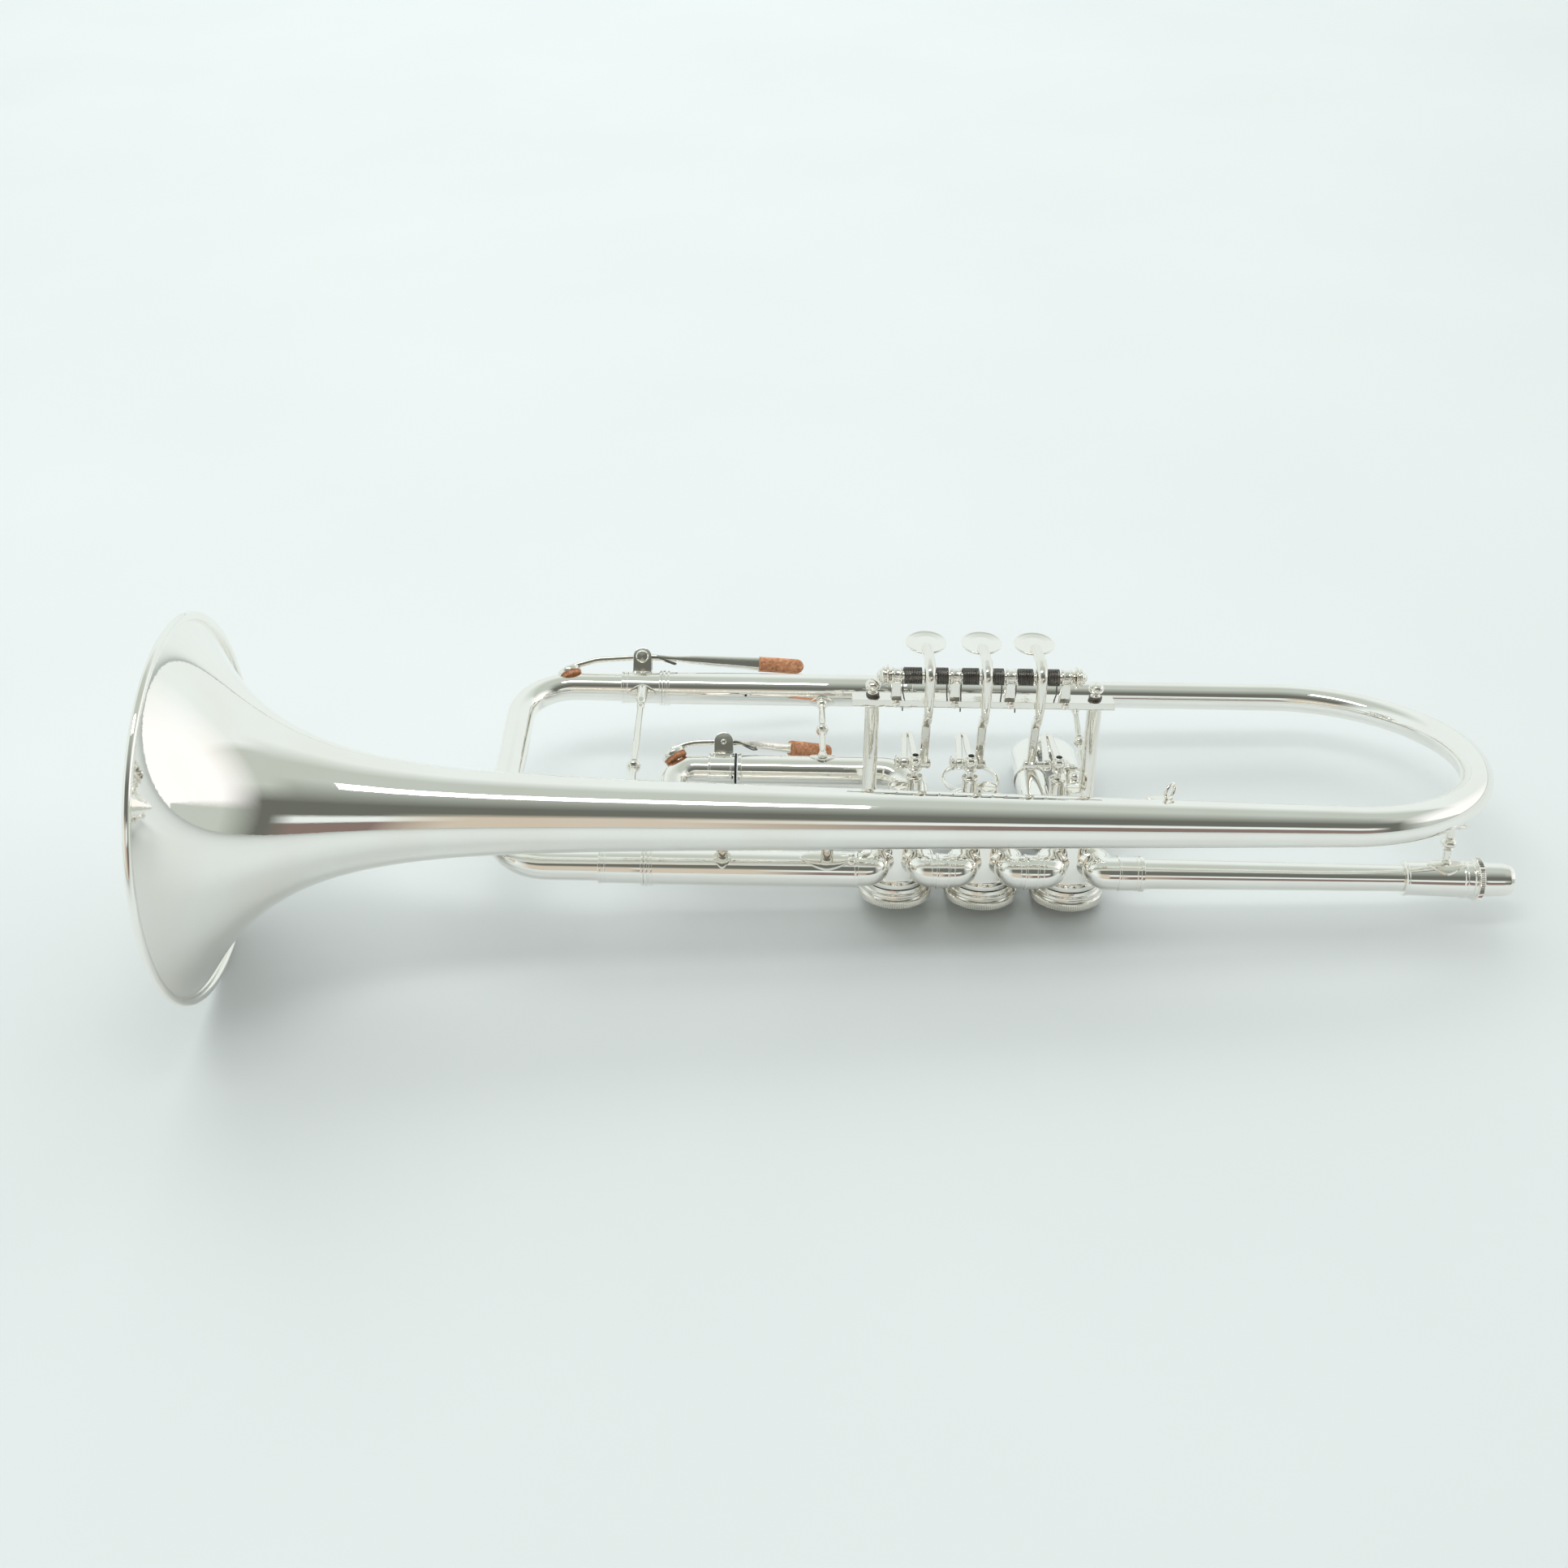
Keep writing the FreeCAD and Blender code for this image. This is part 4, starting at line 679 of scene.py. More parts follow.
def make_knuckles():
    """The round tubes in front of the valves with their bands and the leadpipe's ferrule."""
    bridges, elbows, bands = [], [], []
    bends = [PORT_BEND, KNUCKLE_BEND, KNUCKLE_BEND, PORT_BEND]
    for left, right in ((-PITCH, 0), (0, PITCH)):
        start, end = port(left, "front_right"), port(right, "front_left")
        points = [into_valve(left, start), start, V((start.x, LINE.y, LINE.z)),
                  V((end.x, LINE.y, LINE.z)), end, into_valve(right, end)]
        bridges.append(bar(rounded_path(points, bends), KNUCKLE_RADIUS, sides=TUBE_SIDES))
        middle = (left + right) / 2
        for low, high, radius in ((-2.6, 2.6, 6.4), (-2.6, -1.7, 6.75), (1.7, 2.6, 6.75)):
            bands.append(ring(5.5, radius, middle + low, middle + high, LINE))
        for offset in (-4.2, 4.2):
            bands.append(ring(5.5, 6.22, middle + offset - 0.25, middle + offset + 0.25, LINE))
    piece("valve_bridges", "horn", DRAWN, *bridges)
    for valve_x, name, sense in ((PITCH, "front_right", 1), (-PITCH, "front_left", -1)):
        start = port(valve_x, name)
        end = V((valve_x + sense * (KNUCKLE_SIDE + 6.8), LINE.y, LINE.z))
        points = [into_valve(valve_x, start), start, V((start.x, LINE.y, LINE.z)), end]
        elbows.append(bar(rounded_path(points, bends[:2]), KNUCKLE_RADIUS, sides=TUBE_SIDES))
    piece("valve_elbows", "horn", DRAWN, *elbows)
    for low, high, radius in ((0, 9.5, 6.35), (0, 0.9, 6.7), (8.0, 9.5, 6.75), (6.6, 7.1, 6.55)):
        bands.append(ring(5.5, radius, LINE_START + low, LINE_START + high, LINE))
    bands.append(ring(5.9, 6.95, -LINE_START - 1.0, -LINE_START + 0.5, LINE))
    piece("valve_ferrules", "horn", POLISHED, *bands)


def make_stop_arms():
    """Slotted hubs, stop arms and ball studs, turning with their rotors."""
    slot_angles = (0, -12, 35)
    arm_height, tail_height = 36.75, 36.6
    for index, x, side, _ in VALVES:
        foot = V((x, 0, 0))
        angle = math.radians(slot_angles[index - 1])
        slot = V((math.cos(angle), math.sin(angle), 0))
        hub_profile = [(33.5, 0), (33.5, 4.0), (34.6, 4.3), (38.8, 4.3), (39.3, 4.05),
                       (46.0, 4.05), (46.3, 3.95), (46.3, 3.65), (45.75, 3.5), (45.75, 0)]
        hub = turned(hub_profile, foot, Z, 0.15)
        screw = slotted([(44.6, 0), (44.6, 3.42), (45.85, 3.42), (46.15, 3.1), (46.15, 0)],
                        foot, Z, slot, 0.75, 1.0, radius=0.15)
        stud_foot = V((x + side * STUD_OFFSET, STUD_OFFSET, 0))
        stud = turned([(34.6, 0), (34.6, 3.1), (38.9, 3.1), (39.2, 2.85), (45.8, 2.85),
                       (46.2, 3.2), (46.9, 3.25), (47.4, 2.9), (47.6, 1.3), (49.9, 1.2), (49.9, 0)],
                      stud_foot, Z)
        direction = V((side, 1, 0)).normalized()
        arm_path = [foot + Z * arm_height, stud_foot + Z * arm_height]
        arm = bar(filled_in(arm_path, 2), lambda f: (2.5, 1.75), side=direction.cross(Z), square=0.9)
        # Beside valve 1 a pillar stands in the way of a longer tail.
        tail_reach = 4.6 if index == 1 else 6.6
        tail_path = [foot + Z * tail_height, foot + Z * tail_height - direction * tail_reach]
        tail = bar(filled_in(tail_path, 2), lambda f: (2.2 - 0.5 * f, 1.45), side=direction.cross(Z),
                   square=0.8)
        piece(f"stop_arm_{index}", f"rotor_{index}", CAST, hub, arm, tail, stud)
        piece(f"hub_screw_{index}", f"rotor_{index}", CAST, screw)


# ---------------------------------------------------------------- slides
def make_main_slide_tubes():
    """The fixed outer tubes of the main slide with their mouth rings."""
    for name, line, end in (("upper", UPPER, UPPER_END + 1), ("lower", LINE, -LINE_START)):
        tube = pipe(line, SLIDE_MOUTH, end, SLIDE_RADIUS, SLIDE_LEG + 0.05)
        lip = ring(6.4, 7.5, SLIDE_MOUTH, SLIDE_MOUTH + 1.1, line)
        bead = ring(6.4, 7.3, SLIDE_MOUTH + 1.8, SLIDE_MOUTH + 2.8, line)
        piece(f"main_slide_tube_{name}", "horn", POLISHED, tube, lip, bead)


def pad_seat(line, pad_x, bend_centre, bend_radius):
    """Where a pad meets a crook: a point on the crook's axis and the way out of the crook."""
    out = V((0, math.sin(KEY_LEAN), math.cos(KEY_LEAN)))
    inward = (at(bend_centre, 0) - at(line, 0)).normalized()
    along = bend_centre.x - pad_x
    seat = at(line, pad_x) + inward * (bend_radius - math.sqrt(bend_radius ** 2 - along ** 2))
    radial = (seat - bend_centre).normalized()
    tangent = radial.cross(inward.cross(X)).normalized()
    press = (out + radial * 0.8).normalized()
    return seat, (press - tangent * press.dot(tangent)).normalized()


def nipple(seat, press):
    """The collar on the crook that a pad closes."""
    profile = [(4.6, 0), (4.6, 3.3), (5.6, 2.75), (6.2, 2.6), (7.0, 2.6), (7.1, 2.4), (7.1, 0)]
    return turned(profile, seat, press)


def make_tuning_slide():
    """Crook, ferrules, ornamental brace and water key."""
    far_x = CROOK_START - CROOK_BEND
    corners = [at(UPPER, CROOK_START + 3), at(UPPER, far_x), at(LINE, far_x), at(LINE, CROOK_START + 3)]
    crook = bar(filled_in(rounded_path(corners, CROOK_BEND, 2.0), 8), CROOK_RADIUS, sides=80)
    inward = (LINE - UPPER).normalized()
    bend_centre = at(UPPER, CROOK_START) + inward * CROOK_BEND
    seat, press = pad_seat(UPPER, MAIN_PAD_X, bend_centre, CROOK_BEND)
    piece("tuning_crook", "tuning_slide", POLISHED, crook, nipple(seat, press))
    ferrules = []
    for line in (UPPER, LINE):
        for low, high, radius in (
            (CROOK_START, SLIDE_MOUTH - 0.3, 6.5),
            (CROOK_START, CROOK_START + 1.0, 6.85),
            (CROOK_START + 2.2, CROOK_START + 2.8, 6.7),
            (SLIDE_MOUTH - 1.4, SLIDE_MOUTH - 0.3, 7.4),
        ):
            ferrules.append(ring(5.4, radius, low, high, line))
    piece("tuning_slide_ferrules", "tuning_slide", POLISHED, *ferrules)
    brace_x = -135
    above = X.cross(inward * -1).normalized() * 2.6
    start = at(UPPER, brace_x) + inward * 5 + above
    end = at(LINE, brace_x) - inward * 5 + above
    foot_out = inward + above * 0.1
    feet = [patch(at(UPPER, brace_x), 6.5, foot_out, 6.2, 0.62, 0.55),
            patch(at(LINE, brace_x), 6.5, foot_out * -1 + above * 0.2, 6.2, 0.62, 0.55)]
    piece("crook_brace", "tuning_slide", CAST, brace(start, end, 1.7), *feet)
    make_water_key("main_key", "tuning_slide", "main_water_key", UPPER, seat, press, pivot_x=-135.5,
                   reach=12.6, grip_x=-87, grip_aside=9, saddle_radius=6.5, blade=2.9, head_radius=2.65)


def loop_slide(valve_x, reach_y, mouth_y):
    """A valve slide straight back from its valve: the fixed tubes, and the moving loop."""
    fixed, moving = [], []
    for name in ("back_left", "back_right"):
        joint = port(valve_x, name)
        lift = V((joint.x, 0, joint.z))
        points = [into_valve(valve_x, joint), joint, lift + Y * mouth_y]
        fixed.append(bar(rounded_path(points, PORT_BEND), LOOP_RADIUS, sides=TUBE_SIDES))
        profile = [(-1.4, 5.6), (-1.4, 6.9), (0.0, 6.9), (0.0, 5.6)]
        fixed.append(turned(profile, lift + Y * mouth_y, Y))
        profile = [(0.3, 5.4), (0.3, 6.8), (1.2, 6.8), (1.5, 6.35), (2.5, 6.3), (2.9, 5.4)]
        moving.append(turned(profile, lift + Y * mouth_y, Y))
    left, right = port(valve_x, "back_left").x, port(valve_x, "back_right").x
    corners = [V((left, mouth_y - 3, LINE.z)), V((left, reach_y, LINE.z)),
               V((right, reach_y, LINE.z)), V((right, mouth_y - 3, LINE.z))]
    moving.append(bar(rounded_path(corners, LOOP_SIDE - 0.05, 4.0), LOOP_LEG, sides=TUBE_SIDES))
    return fixed, moving


def make_valve_slides():
    """First and second slides straight back, third slide towards the bell."""
    fixed, moving = loop_slide(PITCH, reach_y=88, mouth_y=60)
    piece("first_slide_tubes", "horn", DRAWN, *fixed)
    piece("first_slide", "first_valve_slide", POLISHED, *moving)
    second_reach, pull_radius = 40.5, 11
    fixed, moving = loop_slide(0, second_reach, mouth_y=26)
    piece("second_slide_tubes", "horn", DRAWN, *fixed)
    ring_centre = V((0, second_reach + LOOP_LEG + pull_radius + 0.6, LINE.z + 1))
    tilt = Matrix.Rotation(math.radians(5), 3, "X")
    around = [V((pull_radius * math.cos(angle), pull_radius * math.sin(angle), 0)) for angle in circle(72)]
    pull_ring = bar([ring_centre + tilt @ spot for spot in around], 1.05, sides=20, loop=True)
    foot = turned([(0, 0), (0, 2.2), (0.7, 1.9), (1.3, 1.1), (1.9, 1.0), (2.0, 0)],
                  V((0, second_reach + LOOP_LEG - 0.6, LINE.z)), Y)
    piece("second_slide", "second_valve_slide", POLISHED, pull_ring, foot, *moving)

    mouth, crook_x = -94.3, -106
    tubes, collars = [], []
    for name, line, bend in (("back_right", THIRD_UPPER, 13), ("back_left", THIRD_LOWER, 6.6)):
        joint = port(-PITCH, name)
        points = [into_valve(-PITCH, joint), joint, at(line, joint.x), at(line, mouth)]
        tubes.append(bar(rounded_path(points, [PORT_BEND, bend], 4.0), LOOP_RADIUS, sides=TUBE_SIDES))
        tubes.append(ring(5.6, 7.0, mouth, mouth + 1.6, line))
        collars.append(ring(5.4, 6.4, crook_x, mouth - 0.3, line))
        collars.append(ring(5.4, 6.9, crook_x, crook_x + 1, line))
        collars.append(ring(5.4, 6.75, mouth - 2.9, mouth - 2.2, line))
    piece("third_slide_tubes", "horn", DRAWN, *tubes)
    gap = (THIRD_UPPER - THIRD_LOWER).length
    far_x = crook_x - gap / 2
    corners = [at(THIRD_UPPER, crook_x + 4), at(THIRD_UPPER, far_x),
               at(THIRD_LOWER, far_x), at(THIRD_LOWER, crook_x + 4)]
    crook = bar(rounded_path(corners, gap / 2 - 0.05, 3.0), LOOP_LEG, sides=72)
    bend_centre = at((THIRD_UPPER + THIRD_LOWER) / 2, crook_x)
    seat, press = pad_seat(THIRD_UPPER, THIRD_PAD_X, bend_centre, gap / 2)
    piece("third_slide", "third_valve_slide", POLISHED, crook, nipple(seat, press), *collars)
    bumpers = [ring(6.0, 6.85, mouth - 1.2, mouth - 0.35, line) for line in (THIRD_UPPER, THIRD_LOWER)]
    piece("third_slide_bumpers", "third_valve_slide", RUBBER, *bumpers)
    make_water_key("third_key", "third_valve_slide", "third_water_key", THIRD_UPPER, seat, press,
                   pivot_x=-100, reach=11.2, grip_x=-73, grip_aside=13, saddle_radius=6.4, blade=2.1,
                   head_radius=1.15)


# ---------------------------------------------------------------- water keys
def make_water_key(prefix, tube_body, key_body, line, seat, press, pivot_x, reach, grip_x, grip_aside,
                   saddle_radius, blade, head_radius):
    """Saddle with its screw, sprung arm, cork pad and cork grip.

    seat and press say where the pad meets the crook and which way it lifts. blade is the half
    depth of the arm's far end, and head_radius the screw head's.
    """
    out = V((0, math.sin(KEY_LEAN), math.cos(KEY_LEAN)))
    across = V((0, math.cos(KEY_LEAN), -math.sin(KEY_LEAN)))
    foot = at(line, pivot_x)
    pivot = foot + out * reach
    cheek_low, cheek_half, cheek_thick, cheek_face = 5.6, 3.8, 0.9, 3.05
    # The outline is drawn in -X and out, so that the cheeks thicken along across.
    outline = [(cheek_half, cheek_low), (-cheek_half, cheek_low)]
    for i in range(17):
        angle = math.pi * i / 16
        outline.append((-cheek_half * math.cos(angle), reach + cheek_half * math.sin(angle)))
    shapes = [patch(foot, saddle_radius, out, 4.4, 0.55, 0.9, pointed=0.0)]
    for offset in (2.15, -cheek_face):
        shapes.append(slab(outline, cheek_thick, foot + across * offset, X * -1, out, 0.2))
    head_profile = [(0, 0), (0, head_radius - 0.1), (head_radius * 0.34, head_radius),
                    (head_radius * 0.56, head_radius - 0.45), (head_radius * 0.64, 0)]
    head = slotted(head_profile, pivot - across * cheek_face, across * -1, X + out * 0.5,
                   0.22 * head_radius, 0.6, radius=0.15)
    nut = turned([(0, 0), (0, 1.7), (0.6, 1.7), (0.9, 1.3), (0.9, 0)], pivot + across * cheek_face, across)
    piece(f"{prefix}_saddle", tube_body, CAST, *shapes, head, nut)

    surface = seat + press * CROOK_RADIUS
    cup = turned([(3.2, 4.7), (3.2, 5.05), (4.6, 5.1), (5.3, 4.7), (5.8, 3.4), (6.1, 1.8), (6.9, 1.5),
                  (7.2, 0)], surface, press, 0.3)
    cup_floor = cylinder(4.3, 4.7, 4.8, surface, press)
    pad = turned([(1.5, 0), (1.5, 4.2), (1.9, 4.6), (4.4, 4.6), (4.4, 0)], surface, press, 0.4)
    hub = cylinder(-1.9, 1.9, 2.0, pivot, across)
    crown = surface + press * 5.8 + press * 0.5
    neck = pivot.lerp(crown, 0.62) + out * 1.7
    short_path = filled_in(rounded_path([pivot, neck, crown], 22), 2)
    short_arm = bar(short_path, lambda f: (1.75 - 0.35 * f, 1.15), side=across, square=0.25)
    grip_start = at(pivot, grip_x) - out * 1.0 + across * grip_aside
    elbow = pivot + X * 5.8
    along = (grip_start - elbow).normalized()
    grip_length, grip_wide, grip_deep = 19, 3.45, 3.1

    def arm_size(fraction):
        waist = 1 - math.exp(-((fraction - 0.26) / 0.13) ** 2) * 0.45
        return 1.25 * waist + 0.2 * fraction, 1.35 * waist + (blade - 1.35) * fraction ** 1.2

    def grip_size(fraction):
        closing = math.sqrt(max(0.02, 1 - max(0, (fraction - 0.84) / 0.17) ** 2))
        return grip_wide * closing, grip_deep * closing

    long_path = rounded_path([pivot, elbow, grip_start + along * 1.0], 6)
    long_arm = bar(filled_in(long_path, 2), arm_size, side=across, square=0.2)
    piece(f"{prefix}_arm", key_body, CAST, cup, cup_floor, hub, short_arm, long_arm)
    grip_path = filled_in([grip_start, grip_start + along * grip_length], 1)
    grip = bar(grip_path, grip_size, side=across, square=0.12)
    piece(f"{prefix}_corks", key_body, CORK, pad, grip)

    coil_radius, coil_turns, coil_steps, wire_radius = 2.35, 2.5, 60, 0.27
    coils = []
    for sense in (-1, 1):
        coil = []
        for i in range(coil_steps + 1):
            turn = 2 * math.pi * coil_turns * i / coil_steps
            centre = pivot + across * sense * (0.45 + 1.3 * i / coil_steps)
            coil.append(centre + (X * math.cos(turn) + out * math.sin(turn)) * coil_radius)
        coils.append(bar(coil, wire_radius, sides=8))
    side = along.cross(out).normalized() * 1.9
    aside = across * 1.62
    back = pivot + X * 1.97
    under_arm = elbow + along * 8 - out * 2.2
    wire = [back + aside, elbow + aside, under_arm - side, under_arm + side, elbow - aside, back - aside]
    piece(f"{prefix}_spring", key_body, STEEL, *coils, bar(rounded_path(wire, 0.9, 15), 0.3, sides=10))


# ---------------------------------------------------------------- lever mechanism
def make_mechanism_frame():
    """Plate, pillars, ball-headed screws, hinge posts, hinge rod with knobs, and wound springs."""
    start, end, half = -51.3, 44.7, 3.5
    outline = [(start, -half), (end, -half), (end, half), (start, half)]
    plate = slab(outline, 2.6, V((0, 5, PLATE_BOTTOM)), X, Y, 0.3)
    piece("mechanism_plate", "horn", CAST, plate)
    left, right = V((-43.7, 6, 0)), V((38, 6, 0))
    pillars = []
    for spot, low in ((left, 25.5), (right, 31)):
        profile = [(low, 0), (low, 3.6), (low + 1.5, 3.4), (low + 2.2, 2.7), (PLATE_BOTTOM - 1.4, 2.7),
                   (PLATE_BOTTOM - 1.0, 3.1), (PLATE_BOTTOM, 3.1), (PLATE_BOTTOM, 0)]
        pillars.append(turned(profile, spot, Z, 0.3))
    lug = [left + Z * 27.5, V((-PITCH - 9.5, 4.5, 27.5))]
    pillars.append(bar(filled_in(lug, 2), lambda f: (2.9, 2.0), side=Y, square=0.7))
    piece("mechanism_pillars", "horn", CAST, *pillars)
    screws, washers = [], []
    for spot, slot in ((left, V((0.8, -1, 0))), (right, V((0.5, 1, 0)))):
        profile = [(0, 0), (0, 1.9), (1.4, 1.9), (1.7, 1.2), (2.3, 1.2), (2.5, 2.1), (3.2, 2.75),
                   (4.2, 2.9), (5.2, 2.5), (5.9, 1.6), (6.2, 0)]
        screws.append(slotted(profile, spot + Z * PLATE_TOP, Z, slot, 0.7, 1.6, radius=0.3))
        washers.append(cylinder(0.05, 0.9, 2.45, spot + Z * PLATE_TOP, Z))
    piece("pillar_screws", "horn", CAST, *screws)
    piece("pillar_washers", "horn", STEEL, *washers)
    posts = []
    for x in POSTS:
        shank = [V((x, HINGE.y, PLATE_TOP - 0.2)), V((x, HINGE.y, HINGE.z - 1))]
        posts.append(bar(filled_in(shank, 1.2), lambda f: (1.75 + 0.35 * (1 - f) ** 4, 1.6), side=X,
                         square=0.9))
        posts.append(barrel([(0.9, 2.7), (1.3, 3.2), (2.0, 3.0), (2.0, 1.5)], at(HINGE, x), X))
        posts.append(turned([(0, 0), (0, 1.5), (0.5, 1.3), (0.7, 0)], V((x, 1.6, PLATE_TOP - 1.3)),
                            Y * -1))
    piece("hinge_posts", "horn", CAST, *posts)
    knob = [(0, 0), (0, 2.0), (0.6, 2.4), (0.9, 3.2), (1.1, 4.0), (1.45, 4.15), (1.8, 4.0), (2.0, 2.9),
            (2.3, 2.7), (2.6, 3.3), (3.0, 3.4), (3.4, 3.2), (3.6, 2.4), (4.2, 2.2), (4.9, 1.5),
            (5.3, 0.9), (5.4, 0)]
    rod = cylinder(HINGE_LEFT, HINGE_RIGHT, 1.6, HINGE, X)
    left_knob = turned(knob, at(HINGE, HINGE_LEFT + 1.4), X * -1, 0.25)
    right_knob = turned(knob, at(HINGE, HINGE_RIGHT - 2.4), X, 0.25)
    piece("hinge_rod", "horn", CAST, rod, left_knob, right_knob)
    springs = []
    coil_pitch, coil_steps, coil_radius = 0.56, 20, 2.95
    for _, _, _, lever_x in VALVES:
        left_post = max(x for x in POSTS if x < lever_x)
        right_post = min(x for x in POSTS if x > lever_x)
        for start, end, tail_x, drop in (
            (left_post + 2.3, lever_x - 2.3, left_post + 2.6, 5.0),
            (lever_x + 2.3, right_post - 2.3, right_post - 2.6, 3.4),
        ):
            turns = round((end - start - 0.5) / coil_pitch)
            path = []
            for i in range(turns * coil_steps + 1):
                turn = 2 * math.pi * i / coil_steps
                x = start + coil_pitch / 2 + (end - start - coil_pitch) * i / (turns * coil_steps)
                path.append(at(HINGE, x) + (Y * math.cos(turn) + Z * math.sin(turn)) * coil_radius)
            springs.append(bar(path, 0.255, sides=8))
            tail = [V((tail_x, HINGE.y + 2.9, HINGE.z)), V((tail_x, HINGE.y + 4.2, HINGE.z - 4)),
                    V((tail_x + 0.3, HINGE.y + 4.2, PLATE_BOTTOM - drop))]
            springs.append(bar(rounded_path(tail, 2, 15), 0.26, sides=8))
    piece("lever_springs", "horn", STEEL, *springs)


def make_lever(index, valve_x, side, lever_x):
    """A lever: dished finger plate, rod over the hinge, squared lower arm, and its pin."""
    front = HINGE.y - 6.0
    pin = V((lever_x, PIN_BACK, PIN_HEIGHT))
    points = [V((lever_x, FINGER_Y, 90.6)), V((lever_x, 20, 93.2)), V((lever_x, 5, 94.1)),
              V((lever_x, front, 91.9)), V((lever_x, front, 75.4)), V((lever_x, 6.2, 68.9)), pin]
    path = filled_in(rounded_path(points, [3, 6, 4, 2.6, 3.0], 6), 1.5)
    lengths = lengths_along(path)
    turn_down = next(l for l, p in zip(lengths, path) if p.z < 76.5 and p.y < 2) / lengths[-1]

    def size(fraction):
        if fraction < turn_down:
            swell = 1.5 + 0.55 * math.sin(math.pi * min(1, fraction / turn_down) ** 0.8) ** 0.5
            return swell, swell
        step = min(1.0, (fraction - turn_down) / 0.12)
        return 1.5 + 0.15 * step - 0.2 * max(0, fraction - 0.7), 1.5 + 0.1 * step

    arm = bar(path, size, side=X, square=lambda f: 0.0 if f < turn_down + 0.06 else 0.55)
    sleeve = barrel([(1.5, 3.2), (1.9, 3.0), (1.9, 1.65)], at(HINGE, lever_x), X)
    web_path = [V((lever_x, front, HINGE.z)), V((lever_x, HINGE.y - 2.2, HINGE.z))]
    web = bar(filled_in(web_path, 1), lambda f: (1.2, 1.5), side=X, square=0.6)
    lean = V((0, -math.sin(PLATE_LEAN), math.cos(PLATE_LEAN)))
    plate_foot = V((lever_x, FINGER_Y, FINGER_HEIGHT))
    stem = turned([(-1.4, 0), (-1.4, 1.9), (-0.4, 1.7), (0.2, 2.8), (0.2, 0)], plate_foot, lean)
    dish = turned([(0, 0), (0, 3.0), (0.35, 6.2), (0.75, 7.3), (1.25, 7.7), (1.65, 7.65), (1.8, 7.3),
                   (1.55, 6.7), (1.15, 4.5), (1.0, 0)], plate_foot, lean, 0.4, sides=96)
    ball_x = valve_x + side * STUD_OFFSET
    link_x = ball_x - LINK_GAP
    outward = 1 if link_x > lever_x else -1
    shaft_end = (link_x + outward * 1.9 - lever_x) * outward
    shaft = turned([(-2.9, 0), (-2.9, 0.9), (-2.6, 1.1), (shaft_end, 1.1), (shaft_end, 0)], pin,
                   X * outward)
    boss = barrel([(1.9, 2.1), (2.6, 1.9), (2.6, 0)], pin, X)
    head_radius = 1.6 if outward > 0 else 2.8
    head_length = 0.5 if outward > 0 else 2.0
    head_profile = [(0, 0), (0, head_radius - 0.3), (head_length * 0.4, head_radius),
                    (head_length * 0.75, head_radius * 0.9), (head_length, 0)]
    head = slotted(head_profile, V((link_x + outward * 1.9, pin.y, pin.z)), X * outward, Z + Y * 0.15,
                   0.6, head_length * 0.45, radius=0.2)
    body = f"lever_{index}"
    piece(body, body, CAST, arm, sleeve, web, stem, shaft, boss, head)
    piece(f"finger_plate_{index}", body, POLISHED, dish)


def make_link(index, valve_x, side):
    """The hairpin link with its eye, flanged ball and set screw."""
    ball_x = valve_x + side * STUD_OFFSET
    pin = V((ball_x - LINK_GAP, PIN_BACK, PIN_HEIGHT))
    spot = V((ball_x, STUD_OFFSET, BALL_HEIGHT))
    points = [pin + Z * 0.4, V((ball_x - 2.9, HAIRPIN_Y, BALL_HEIGHT)),
              V((ball_x - 0.5, HAIRPIN_Y, BALL_HEIGHT)), spot]
    path = filled_in(rounded_path(points, 1.15, 12), 1.5)

    def size(fraction):
        bend = math.exp(-((fraction - 0.46) / 0.2) ** 2)
        return 1.3 - 0.22 * bend, 1.6 - 0.55 * bend

    hairpin = bar(path, size, side=X, square=0.15, sides=24)
    eye = barrel([(1.1, 2.4), (1.5, 2.0), (1.5, 0)], pin, X)
    socket = turned([(-3.4, 0), (-3.4, 2.3), (-3.1, 2.5), (-2.6, 2.45), (-2.2, 2.0), (-1.6, 2.2),
                     (-0.6, 2.55), (0.4, 2.55), (1.3, 2.25), (1.8, 1.9), (2.3, 1.95), (2.6, 1.7),
                     (2.6, 0)], spot, Z, 0.35)
    body = f"link_{index}"
    piece(body, body, CAST, hairpin, eye, socket)
    screw = turned([(2.2, 0), (2.2, 1.25), (2.75, 1.2), (3.0, 0.7), (3.05, 0)], spot, Z, 0.2)
    piece(f"link_screw_{index}", body, DARK, screw)


# ---------------------------------------------------------------- braces and small fittings
def brace(start, end, rod):
    """An ornamental brace: two tapered rods, a ringed centre, and a collar near each foot."""
    length = (end - start).length
    half = length / 2
    side = [(0, rod * 1.5), (length * 0.08, rod * 1.25), (length * 0.1, rod * 0.8),
            (length * 0.115, rod * 1.05), (length * 0.13, rod * 0.75), (half * 0.72, rod * 0.95),
            (half - 2.6, rod * 0.7), (half - 2.2, rod * 1.2), (half - 1.7, rod * 0.85),
            (half - 0.9, rod * 1.5), (half - 0.3, rod * 1.65)]
    mirrored = [(length - along, radius) for along, radius in reversed(side)]
    profile = [(0, 0), *side, *mirrored, (length, 0)]
    return turned(profile, start, end - start, 0.5, sides=40)


